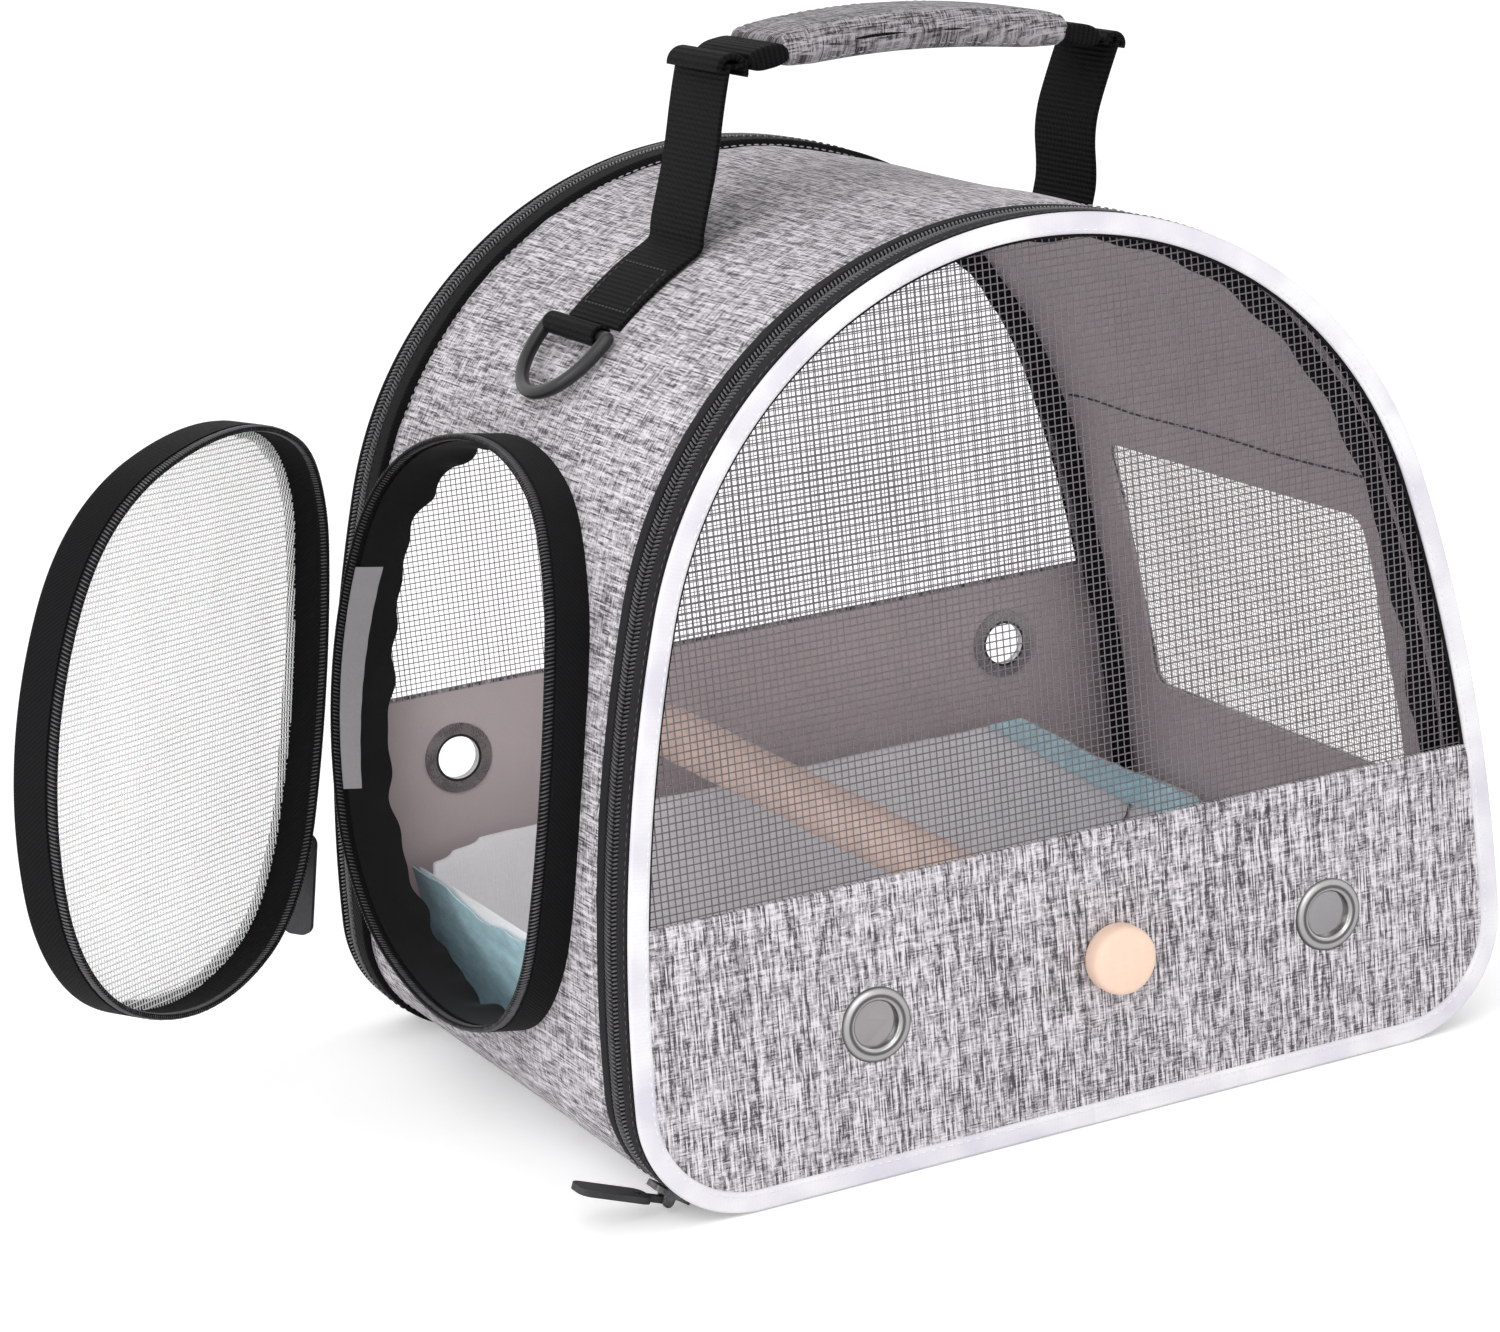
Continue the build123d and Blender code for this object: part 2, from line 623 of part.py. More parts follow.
def slider(seat):
    """Slider on a plane whose Z is away from the zip and whose X is across it."""
    pin = Pos(0, 0, eye_z) * Rot(0, 90, 0) * Cylinder(pin_r, ear_gap + ear_t)
    plate = Pos(0, 0, move_gap + slider_t / 2) * Box(slider_w, slider_l, slider_t)
    shape = fillet(plate.edges().filter_by(Axis.Z), slider_w / 4)
    plate_mid = move_gap + slider_t / 2
    for sign in (-1, 1):
        x = sign * (ear_gap + ear_t) / 2
        ear = Pos(x, 0, eye_z) * Rot(0, 90, 0) * Cylinder(pull_eye_r + pull_fit, ear_t)
        foot = Box(ear_t, 2 * (pull_eye_r + pull_fit), eye_z - plate_mid)
        shape += ear + Pos(x, 0, (eye_z + plate_mid) / 2) * foot
    return seat * (shape + pin)


def pull(seat, swing, length):
    """Flat pull, its eye between the slider's ears, swung from the plane's +Y towards Z."""
    neck_w = ear_gap - 2 * pull_fit
    eye = Rot(0, 90, 0) * Cylinder(pull_eye_r, neck_w)
    bore = Rot(0, 90, 0) * Cylinder(pin_r + pin_fit, 2 * neck_w)
    neck = Pos(0, pull_neck / 2, 0) * Box(neck_w, pull_neck, pull_t)
    tab = Pos(0, pull_neck + length / 2, 0) * Box(pull_w, length, pull_t)
    tab = fillet(tab.edges().filter_by(Axis.Z), pull_w / 3)
    triangle = extrude(RegularPolygon(pull_hole / 2, 3), amount=pull_t, both=True)
    hole = Pos(0, pull_neck + pull_hole, 0) * triangle
    return seat * Pos(0, 0, eye_z) * Rot(swing, 0, 0) * (eye + neck + tab - hole - bore)


def corner_seat(centre_x, degrees_round, y, outset):
    """Plane on the body's bottom corner: Z away from the body and Y along the zip, upwards."""
    a = radians(degrees_round)
    out = Vector(cos(a), 0, sin(a))
    at = Vector(centre_x, y, corner_r) + out * (corner_r + outset)
    return Plane(origin=at, x_dir=(0, -1 if centre_x < 0 else 1, 0), z_dir=out)


slider_y = slider_w / 2 + move_gap - slider_lap
front_seat = corner_seat(corner_r - half_w, front_slider_at, front_parting + slider_y, 0)
back_seat = corner_seat(half_w - corner_r, back_slider_at, back_parting - slider_y, back_welt)
add("front_slider", slider(front_seat))
add("front_pull", pull(front_seat, pull_swing, pull_l))
add("back_slider", slider(back_seat))
add("back_pull", pull(back_seat, pull_swing, pull_l))

turn = radians(door_slider_at)
slider_out = (cos(turn), sin(turn))
slider_u = door_corner_r * slider_out[0] - door_a
slider_v = door_corner_r * slider_out[1] - door_b
door_seat = Plane(
    origin=door_plane.from_local_coords((slider_u, slider_v, rim_low + slider_w / 2 + move_gap)),
    x_dir=door_plane.z_dir,
    z_dir=door_plane.x_dir * slider_out[0] + door_plane.y_dir * slider_out[1])
add("door_slider", opened(slider(door_seat)))
add("door_pull", opened(pull(door_seat, door_pull_swing, door_pull_l)))

# ---- files ------------------------------------------------------------------------------------------------
os.makedirs("parts", exist_ok=True)
for name, shape in parts.items():
    export_step(shape, f"parts/{name}.step")
print(len(parts), "nodes")
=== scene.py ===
import math

import bpy
import numpy as np
from mathutils import Matrix, Vector
from mathutils.bvhtree import BVHTree


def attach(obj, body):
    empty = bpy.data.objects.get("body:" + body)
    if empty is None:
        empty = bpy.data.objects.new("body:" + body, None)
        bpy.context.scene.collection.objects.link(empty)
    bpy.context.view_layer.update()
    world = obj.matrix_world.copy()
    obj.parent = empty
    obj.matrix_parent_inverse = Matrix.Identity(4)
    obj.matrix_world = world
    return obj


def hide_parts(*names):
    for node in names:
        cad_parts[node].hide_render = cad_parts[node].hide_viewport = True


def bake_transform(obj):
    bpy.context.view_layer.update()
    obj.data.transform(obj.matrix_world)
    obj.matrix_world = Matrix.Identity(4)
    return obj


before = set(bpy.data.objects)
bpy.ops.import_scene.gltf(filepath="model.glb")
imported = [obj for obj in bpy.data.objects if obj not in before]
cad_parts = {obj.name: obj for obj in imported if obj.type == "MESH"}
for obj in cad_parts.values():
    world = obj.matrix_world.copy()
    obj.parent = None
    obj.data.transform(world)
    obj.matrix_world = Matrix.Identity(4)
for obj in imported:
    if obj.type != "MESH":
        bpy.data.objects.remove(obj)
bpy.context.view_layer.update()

bl_info = {
    "name": "Bird travel carrier",
    "version": (1, 0, 0),
    "blender": (4, 5, 0),
    "location": "3D View > Sidebar > Carrier",
    "description": "Builds the cloth, nets, zips, webbing and finishes of a bird travel carrier",
    "category": "Object",
}

# ---- the body's outline, in metres -----------------------------------------------------
PI = math.pi
HALF = 0.150
CORNER = 0.037
ROOF_R = 0.135
ROOF_Z = 0.145
SIDE_R = 0.5313
SIDE_A = math.atan2(ROOF_Z - CORNER, SIDE_R - HALF)
FLAT = HALF - CORNER
SEGMENTS = np.array([FLAT, CORNER * PI / 2, SIDE_R * SIDE_A, ROOF_R * (PI - 2 * SIDE_A),
                     SIDE_R * SIDE_A, CORNER * PI / 2, FLAT])
STARTS = np.concatenate([[0.0], np.cumsum(SEGMENTS)])
AROUND = float(STARTS[-1])
SHARP = 38.0


def arch(s, inset=0.0):
    """x and z on the outline at lengths s from the floor's middle, and the outward normal."""
    s = np.mod(np.asarray(s, float), AROUND)
    k = np.clip(np.searchsorted(STARTS, s, side="right") - 1, 0, 6)
    u = (s - STARTS[k]) / SEGMENTS[k]
    cx = np.array([0, FLAT, HALF - SIDE_R, 0, SIDE_R - HALF, -FLAT, 0])[k]
    cz = np.array([0, CORNER, CORNER, ROOF_Z, CORNER, CORNER, 0])[k]
    r = np.array([0, CORNER, SIDE_R, ROOF_R, SIDE_R, CORNER, 0])[k]
    start = np.array([-PI / 2, -PI / 2, 0, SIDE_A, PI - SIDE_A, PI, -PI / 2])[k]
    turn = np.array([0, PI / 2, SIDE_A, PI - 2 * SIDE_A, SIDE_A, PI / 2, 0])[k]
    a = start + turn * u
    nx, nz = np.cos(a), np.sin(a)
    x = cx + r * nx + np.where(k == 0, u * FLAT, 0) - np.where(k == 6, (1 - u) * FLAT, 0)
    z = cz + r * nz
    return x - inset * nx, z - inset * nz, nx, nz


def wall_at(s, y, inset):
    """Points of the body's wall at lengths s round it, depths y and distances inset inside."""
    x, z, _, _ = arch(s, inset)
    return np.stack([x, np.broadcast_to(y, x.shape), z], -1)


def half_width(z, inset):
    """Half the outline's width at height z."""
    z = np.asarray(z, float)
    roof = np.sqrt(np.maximum((ROOF_R - inset) ** 2 - (z - ROOF_Z) ** 2, 0))
    side = HALF - SIDE_R + np.sqrt((SIDE_R - inset) ** 2 - (z - CORNER) ** 2)
    low = FLAT + np.sqrt(np.maximum((CORNER - inset) ** 2 - (z - CORNER) ** 2, 0))
    on_roof = z - ROOF_Z > (ROOF_R - inset) * math.sin(SIDE_A)
    return np.where(on_roof, roof, np.where(z < CORNER, low, side))


def top_at(x, inset):
    """The outline's height above x."""
    x = np.abs(np.asarray(x, float))
    roof = ROOF_Z + np.sqrt(np.maximum((ROOF_R - inset) ** 2 - x ** 2, 0))
    gap = np.minimum(x - HALF + SIDE_R, SIDE_R - inset)
    side = CORNER + np.sqrt((SIDE_R - inset) ** 2 - gap ** 2)
    return np.where(x < (ROOF_R - inset) * math.cos(SIDE_A), roof, side)


def s_at(z):
    """Length round the outline at which its right wall is at height z."""
    s = np.linspace(STARTS[1], AROUND / 2, 4000)
    return float(np.interp(z, arch(s)[1], s))


def ripple(u, v, seed, count=7, size=0.02, spread=1.0):
    """Smooth seeded noise, about -1 to 1, over two lengths in metres."""
    rng = np.random.default_rng(seed)
    total = np.zeros(np.broadcast(u, v).shape)
    for _ in range(count):
        angle = rng.uniform(0, 2 * PI)
        k = 2 * PI / (size * rng.uniform(0.6, 1.7))
        total = total + np.sin(k * (np.cos(angle) * u + spread * np.sin(angle) * v)
                               + rng.uniform(0, 2 * PI))
    return total / math.sqrt(count) * 0.8


def xyz(x, y, z):
    """Points from three coordinates, each a number or a row."""
    return np.stack(np.broadcast_arrays(x, y, z), -1)


def unit(rows):
    """Rows of vectors at length one."""
    return rows / np.linalg.norm(rows, axis=1)[:, None]


def run_of(path):
    """Length along a path at each of its points."""
    return np.concatenate([[0], np.cumsum(np.linalg.norm(np.diff(path, axis=0), axis=1))])


def sample(path, at, want):
    """Points of a path at the wanted lengths."""
    return np.stack([np.interp(want, at, path[:, k]) for k in range(path.shape[1])], 1)


# ---- meshes ----------------------------------------------------------------------------
def new_mesh(name, verts, faces, uvs=None, smooth=SHARP):
    """An object in the row frame; uvs has one pair for each corner of each face."""
    mesh = bpy.data.meshes.new(name)
    mesh.from_pydata([tuple(v) for v in np.asarray(verts).tolist()], [], faces)
    if uvs is not None:
        layer = mesh.uv_layers.new(name="UVMap")
        layer.data.foreach_set("uv", np.asarray(uvs, np.float32).ravel())
    mesh.validate()
    mesh.polygons.foreach_set("use_smooth", np.ones(len(mesh.polygons), bool))
    mesh.set_sharp_from_angle(angle=math.radians(smooth))
    mesh.update()
    made = bpy.data.objects.new(name, mesh)
    bpy.context.scene.collection.objects.link(made)
    return made


def facing_out(verts, faces):
    """True when the closed faces enclose a positive volume."""
    total = 0.0
    for f in faces:
        p = verts[f[0]]
        for a, b in zip(f[1:-1], f[2:]):
            total += np.dot(p, np.cross(verts[a], verts[b]))
    return total > 0


def grid_faces(nu, nv, wrap_u, wrap_v):
    """Faces of a grid of points, and each face's corners as grid places."""
    iu = np.arange(nu if wrap_u else nu - 1)
    iv = np.arange(nv if wrap_v else nv - 1)
    a, b = [g.ravel() for g in np.meshgrid(iu, iv, indexing="ij")]

    def at(i, j):
        return (i % nu) * nv + (j % nv)

    quads = np.stack([at(a, b), at(a + 1, b), at(a + 1, b + 1), at(a, b + 1)], 1)
    tex = np.stack([np.stack([a + i, b + j], 1) for i, j in ((0, 0), (1, 0), (1, 1), (0, 1))], 1)
    return quads, tex


def solid(name, outer, inner, lengths, wrap=False):
    """Closed cloth between two grids of points; lengths gives each point's place on the cloth."""
    nu, nv = outer.shape[:2]
    verts = np.concatenate([outer.reshape(-1, 3), inner.reshape(-1, 3)])
    quads, tex = grid_faces(nu, nv, wrap, False)
    half = nu * nv
    uv = lengths[tex[:, :, 0], tex[:, :, 1]]
    faces = quads.tolist() + (quads[:, ::-1] + half).tolist()
    uvs = [uv, uv[:, ::-1]]
    rows, cols = np.arange(nu if wrap else nu - 1), np.arange(nv - 1)
    edges = [(rows * nv + j, ((rows + 1) % nu) * nv + j, lengths[rows, j], lengths[rows + 1, j],
              turned) for j, turned in ((0, False), (nv - 1, True))]
    if not wrap:
        edges += [(i * nv + cols, i * nv + cols + 1, lengths[i, cols], lengths[i, cols + 1],
                   turned) for i, turned in ((0, True), (nu - 1, False))]
    for a, b, at_a, at_b, turned in edges:
        quad = np.stack([b, a, a + half, b + half], 1)
        pair = np.stack([at_b, at_a, at_a, at_b], 1)
        faces += (quad[:, ::-1] if turned else quad).tolist()
        uvs.append(pair[:, ::-1] if turned else pair)
    if not facing_out(verts, faces):
        faces = [f[::-1] for f in faces]
        uvs = [u[:, ::-1] for u in uvs]
    return new_mesh(name, verts, faces, np.concatenate(uvs).reshape(-1, 2))


def loft(name, rows, wrap=True, smooth=SHARP):
    """Closed solid through rows of points, each row a closed loop; wrap joins last to first."""
    rows = np.asarray(rows, float)
    nu, nv = rows.shape[:2]
    verts = rows.reshape(-1, 3)
    quads, tex = grid_faces(nu, nv, wrap, True)
    step_u = np.linalg.norm(np.roll(rows, -1, 0) - rows, axis=2).mean(1)
    step_v = np.linalg.norm(np.roll(rows, -1, 1) - rows, axis=2).mean(0)
    us = np.concatenate([[0], np.cumsum(step_u)])
    vs = np.concatenate([[0], np.cumsum(step_v)])
    uv = np.stack([us[tex[:, :, 0]], vs[tex[:, :, 1]]], -1)
    faces = quads.tolist()
    uvs = [uv.reshape(-1, 2)]
    if not wrap:
        first = list(range(nv))
        last = [(nu - 1) * nv + k for k in range(nv)]
        faces += [first, last[::-1]]
        flat = np.stack([np.zeros(nv), vs[:nv]], 1)
        uvs += [flat, flat]
    if not facing_out(verts, faces):
        ends = np.cumsum([len(f) for f in faces])
        every = np.concatenate(uvs)
        uvs = [every[end - len(f):end][::-1] for f, end in zip(faces, ends)]
        faces = [f[::-1] for f in faces]
    return new_mesh(name, verts, faces, np.concatenate(uvs), smooth)


def rounded(w, h, r, per=4):
    """Loop of a w by h rectangle with corner radius r, about the origin."""
    pts = []
    for k, (sx, sy) in enumerate(((1, 1), (-1, 1), (-1, -1), (1, -1))):
        for i in range(per + 1):
            a = (k + i / per) * PI / 2
            pts.append((sx * (w / 2 - r) + r * math.cos(a), sy * (h / 2 - r) + r * math.sin(a)))
    return np.array(pts)


def ring_piece(name, inset0, inset1, y0, y1, count=420, r=0.0005, wave=None, floor=None):
    """Soft band round the body's outline between two insets and two depths."""
    s = np.linspace(0, AROUND, count, endpoint=False)
    shape = rounded(abs(inset1 - inset0), abs(y1 - y0), r)
    rows = []
    for at in s:
        push = wave(at) if wave else 0.0
        loop = shape + [(inset0 + inset1) / 2 + push, (y0 + y1) / 2]
        rows.append(wall_at(at, loop[:, 1], loop[:, 0]))
    rows = np.array(rows)
    if floor is not None:
        rows[:, :, 2] = np.maximum(rows[:, :, 2], floor)
    return loft(name, rows)


def ribbon(name, path, width, thick, r=None, cup=None):
    """Flat webbing along a path of points, its width along Y; cup bends it across."""
    path = np.asarray(path, float)
    tangent = unit(np.gradient(path, axis=0))
    across = np.broadcast_to((0.0, 1.0, 0.0), path.shape)
    across = unit(across - (across * tangent).sum(1)[:, None] * tangent)
    normal = np.cross(tangent, across)
    width = np.broadcast_to(width, len(path))
    thick = np.broadcast_to(thick, len(path))
    rows = []
    for k, p in enumerate(path):
        shape = rounded(width[k], thick[k], r or thick[k] * 0.45)
        lift = (0.0 if cup is None else cup[k]) * (shape[:, 0] / width[k] * 2) ** 2
        rows.append(p + across[k] * shape[:, :1] + normal[k] * (shape[:, 1] + lift)[:, None])
    return loft(name, rows, wrap=False)


def lathe(name, profile, origin, axis, count=48, wrap=False):
    """Solid turned about an axis; profile holds (distance along, radius) pairs."""
    axis = Vector(axis).normalized()
    side = axis.orthogonal().normalized()
    other = axis.cross(side)
    a = np.linspace(0, 2 * PI, count, endpoint=False)
    spin = np.cos(a)[:, None] * np.array(side) + np.sin(a)[:, None] * np.array(other)
    rows = [np.array(origin) + np.array(axis) * d + spin * r for d, r in profile]
    return loft(name, np.array(rows), wrap=wrap, smooth=50)


def tube(name, path, radius):
    """Round cord along a path that runs roughly along Y."""
    tangent = unit(np.gradient(path, axis=0))
    side = unit(np.cross(tangent, (0, 0, 1)))
    up = np.cross(side, tangent)
    a = np.linspace(0, 2 * PI, 8, endpoint=False)
    rows = [p + radius * (np.cos(a)[:, None] * side[k] + np.sin(a)[:, None] * up[k])
            for k, p in enumerate(path)]
    return loft(name, rows, wrap=False, smooth=60)


def join(name, objects):
    """Several meshes as one."""
    bpy.ops.object.select_all(action="DESELECT")
    for o in objects:
        o.select_set(True)
    bpy.context.view_layer.objects.active = objects[0]
    bpy.ops.object.join()
    objects[0].name = name
    objects[0].data.name = name
    return objects[0]


def apply_modifiers(piece):
    """Turns a piece's modifiers into its plain mesh."""
    bpy.context.view_layer.update()
    graph = bpy.context.evaluated_depsgraph_get()
    mesh = bpy.data.meshes.new_from_object(piece.evaluated_get(graph),
                                           preserve_all_data_layers=True, depsgraph=graph)
    piece.modifiers.clear()
    old = piece.data
    piece.data = mesh
    bpy.data.meshes.remove(old)
    return piece


def cut(piece, cutters):
    """Takes closed cutters out of a closed piece."""
    for c in cutters:
        m = piece.modifiers.new("Cut", "BOOLEAN")
        m.operation = "DIFFERENCE"
        m.solver = "EXACT"
        m.object = c
    apply_modifiers(piece)
    for c in cutters:
        bpy.data.objects.remove(c)
    piece.data.set_sharp_from_angle(angle=math.radians(SHARP))
    return piece


CLOTH = {"quality": 6, "use_pressure": True, "tension_stiffness": 12,
         "compression_stiffness": 12, "bending_stiffness": 0.6, "shrink_min": -0.03}


def points_of(mesh):
    """A mesh's vertices as rows of x, y and z."""
    co = np.zeros(len(mesh.vertices) * 3)
    mesh.vertices.foreach_get("co", co)
    return co.reshape(-1, 3)


def puff(piece, voxel, pressure, cap):
    """Cloth simulation that fills a closed piece out; no point moves further than cap."""
    remesh = piece.modifiers.new("Remesh", "REMESH")
    remesh.mode = "VOXEL"
    remesh.voxel_size = voxel
    remesh.use_smooth_shade = True
    apply_modifiers(piece)
    rest = points_of(piece.data)
    settings = piece.modifiers.new("Cloth", "CLOTH").settings
    for key, value in CLOTH.items():
        setattr(settings, key, value)
    settings.uniform_pressure_force = pressure
    settings.effector_weights.gravity = 0
    scene = bpy.context.scene
    for f in range(1, 21):
        scene.frame_set(f)
    graph = bpy.context.evaluated_depsgraph_get()
    move = points_of(piece.evaluated_get(graph).data) - rest
    far = np.linalg.norm(move, axis=1)[:, None]
    move *= np.minimum(1, cap / np.maximum(far, 1e-9))
    piece.modifiers.clear()
    scene.frame_set(1)
    piece.data.vertices.foreach_set("co", (rest + move).ravel())
    piece.data.update()
    sub = piece.modifiers.new("Smooth", "SUBSURF")
    sub.levels = sub.render_levels = 1
    apply_modifiers(piece)
    piece.data.polygons.foreach_set("use_smooth", np.ones(len(piece.data.polygons), bool))
    return piece


# ---- nodes ------------------------------------------------------------------------------
class Nodes:
    """A node tree that is built one call at a time."""

    def __init__(self, tree):
        self.tree = tree

    def node(self, kind, inputs=(), **settings):
        """A new node with its settings and inputs."""
        node = self.tree.nodes.new(kind)
        for key, value in settings.items():
            setattr(node, key, value)
        return self.feed(node, inputs)

    def feed(self, node, inputs):
        """Gives a node its inputs: a socket is linked, anything else is set."""
        for key, value in dict(inputs).items():
            if isinstance(value, bpy.types.NodeSocket):
                self.tree.links.new(value, node.inputs[key])
            else:
                node.inputs[key].default_value = value
        return node

    def add(self, kind, inputs=(), out=0, **settings):
        """A new node's output."""
        return self.node(kind, inputs, **settings).outputs[out]


def start_tree(name, lengths, whole, count):
    """A node group with its inputs: lengths as numbers with a fraction, and one whole number."""
    tree = bpy.data.node_groups.new(name, "GeometryNodeTree")
    sockets = [("Geometry", "Geometry", None)]
    sockets += [(label, "Float", value) for label, value in lengths]
    sockets += [(whole, "Int", count), ("Material", "Material", None)]
    for label, kind, value in sockets:
        socket = tree.interface.new_socket(name=label, in_out="INPUT",
                                           socket_type="NodeSocket" + kind)
        if value is not None:
            socket.default_value = value
    tree.interface.new_socket(name="Geometry", in_out="OUTPUT", socket_type="NodeSocketGeometry")
    t = Nodes(tree)
    return t, t.node("NodeGroupInput").outputs


def end_tree(t, given, last):
    """Gives the last geometry the group's material and hands it out."""
    painted = t.add("GeometryNodeSetMaterial", {"Geometry": last, "Material": given["Material"]})
    t.node("NodeGroupOutput", {0: painted})
    return t.tree


def bead_tree():
    """Stretched beads on points: zip teeth and stitches.  Points carry along and across."""
    lengths = (("Along", 0.001), ("Across", 0.001), ("Thick", 0.001), ("Slant", 0.0),
               ("Vary", 0.08))
    t, given = start_tree("Beads on points", lengths, "Seed", 3)
    ball = t.add("GeometryNodeMeshUVSphere", {"Segments": 8, "Rings": 5, "Radius": 0.5},
                 out="Mesh")
    size = t.add("ShaderNodeCombineXYZ", {0: given["Along"], 1: given["Across"],
                                          2: given["Thick"]})
    turn = t.add("ShaderNodeCombineXYZ", {2: given["Slant"]})
    shape = t.add("GeometryNodeTransform", {"Geometry": ball, "Scale": size})
    tilt = t.add("GeometryNodeTransform", {"Geometry": shape, "Rotation": turn})
    aim = {}
    for name, axis, pivot in (("along", "X", "AUTO"), ("across", "Y", "X")):
        aim["Vector"] = t.add("GeometryNodeInputNamedAttribute", {"Name": name},
                              out="Attribute", data_type="FLOAT_VECTOR")
        aim["Rotation"] = t.add("FunctionNodeAlignRotationToVector", aim, axis=axis,
                                pivot_axis=pivot)
    low, high = [t.add("ShaderNodeMath", {0: 1.0, 1: given["Vary"]}, operation=sign)
                 for sign in ("SUBTRACT", "ADD")]
    vary = t.add("FunctionNodeRandomValue", {0: low, 1: high, "Seed": given["Seed"]},
                 data_type="FLOAT_VECTOR")
    place = t.add("GeometryNodeInstanceOnPoints", {
        "Points": given["Geometry"], "Instance": tilt, "Rotation": aim["Rotation"],
        "Scale": vary})
    real = t.add("GeometryNodeRealizeInstances", {0: place})
    return end_tree(t, given, t.add("GeometryNodeSetShadeSmooth", {0: real}))


def thread_tree():
    """Threads along the edges of a mesh of lines, with a little seeded wander: nets and twine."""
    lengths = (("Radius", 0.0002), ("Wander", 0.0001), ("Wander size", 30.0))
    t, given = start_tree("Threads", lengths, "Sides", 4)
    noise = t.add("ShaderNodeTexNoise", {"Detail": 1.0, "Scale": given["Wander size"]},
                  out="Color")
    centre = t.add("ShaderNodeVectorMath", {0: noise, 1: (0.5, 0.5, 0.5)},
                   operation="SUBTRACT")
    shift = t.add("ShaderNodeVectorMath", {0: centre, "Scale": given["Wander"]},
                  operation="SCALE")
    move = t.add("GeometryNodeSetPosition", {"Geometry": given["Geometry"], "Offset": shift})
    curve = t.add("GeometryNodeMeshToCurve", {0: move})
    circle = t.add("GeometryNodeCurvePrimitiveCircle", {"Resolution": given["Sides"],
                                                        "Radius": given["Radius"]})
    body = t.add("GeometryNodeCurveToMesh", {"Fill Caps": True, "Curve": curve,
                                             "Profile Curve": circle})
    return end_tree(t, given, t.add("GeometryNodeRealizeInstances", {0: body}))


TREES = {}


def run_tree(name, maker, mesh, values):
    """Runs a node group on a mesh and gives the result as a plain piece."""
    if maker.__name__ not in TREES:
        TREES[maker.__name__] = maker()
    tree = TREES[maker.__name__]
    piece = bpy.data.objects.new(name, mesh)
    bpy.context.scene.collection.objects.link(piece)
    m = piece.modifiers.new("Nodes", "NODES")
    m.node_group = tree
    for item in tree.interface.items_tree:
        if item.in_out == "INPUT" and item.name in values:
            m[item.identifier] = values[item.name]
    apply_modifiers(piece)
    piece.data.name = name
    return piece


def beads(name, points, along, across, size, material, slant=0.0, vary=0.08):
    """Small beads at points; size is (along, across, thick)."""
    mesh = bpy.data.meshes.new(name)
    mesh.from_pydata([tuple(p) for p in np.asarray(points).tolist()], [], [])
    for label, value in (("along", along), ("across", across)):
        attribute = mesh.attributes.new(label, "FLOAT_VECTOR", "POINT")
        data = np.broadcast_to(np.asarray(value, float), (len(points), 3))
        attribute.data.foreach_set("vector", np.ascontiguousarray(data, np.float32).ravel())
    values = {"Along": size[0], "Across": size[1], "Thick": size[2], "Slant": slant,
              "Vary": vary, "Seed": 3, "Material": material}
    return run_tree(name, bead_tree, mesh, values)


def threads(name, lines, radius, material, wander, size):
    """Thin threads along lists of points."""
    verts, edges = [], []
    for line in lines:
        first = len(verts)
        verts += [tuple(p) for p in np.asarray(line).tolist()]
        edges += [(first + k, first + k + 1) for k in range(len(line) - 1)]
    mesh = bpy.data.meshes.new(name)
    mesh.from_pydata(verts, edges, [])
    values = {"Radius": radius, "Wander": wander, "Wander size": size, "Sides": 4,
              "Material": material}
    made = run_tree(name, thread_tree, mesh, values)
    made.data.polygons.foreach_set("use_smooth", np.ones(len(made.data.polygons), bool))
    return made


def along_path(path, pitch, closed=False):
    """Points at an even pitch on a polyline, with the direction at each."""
    path = np.asarray(path, float)
    if closed:
        path = np.concatenate([path, path[:1]])
    at = run_of(path)
    count = max(2, int(round(at[-1] / pitch)))
    s = (np.arange(count) + 0.5) * at[-1] / count
    ahead = sample(path, at, np.minimum(s + 1e-4, at[-1]))
    behind = sample(path, at, np.maximum(s - 1e-4, 0))
    return sample(path, at, s), unit(ahead - behind)


def stitches(name, path, across, material, pitch=0.0, length=0.0019, wide=0.0006):
    """A row of stitches along a path."""
    pts, run = along_path(path, pitch or sizes().stitch_pitch)
    return beads(name, pts, run, across, (length, wide, wide * 0.8), material, vary=0.12)


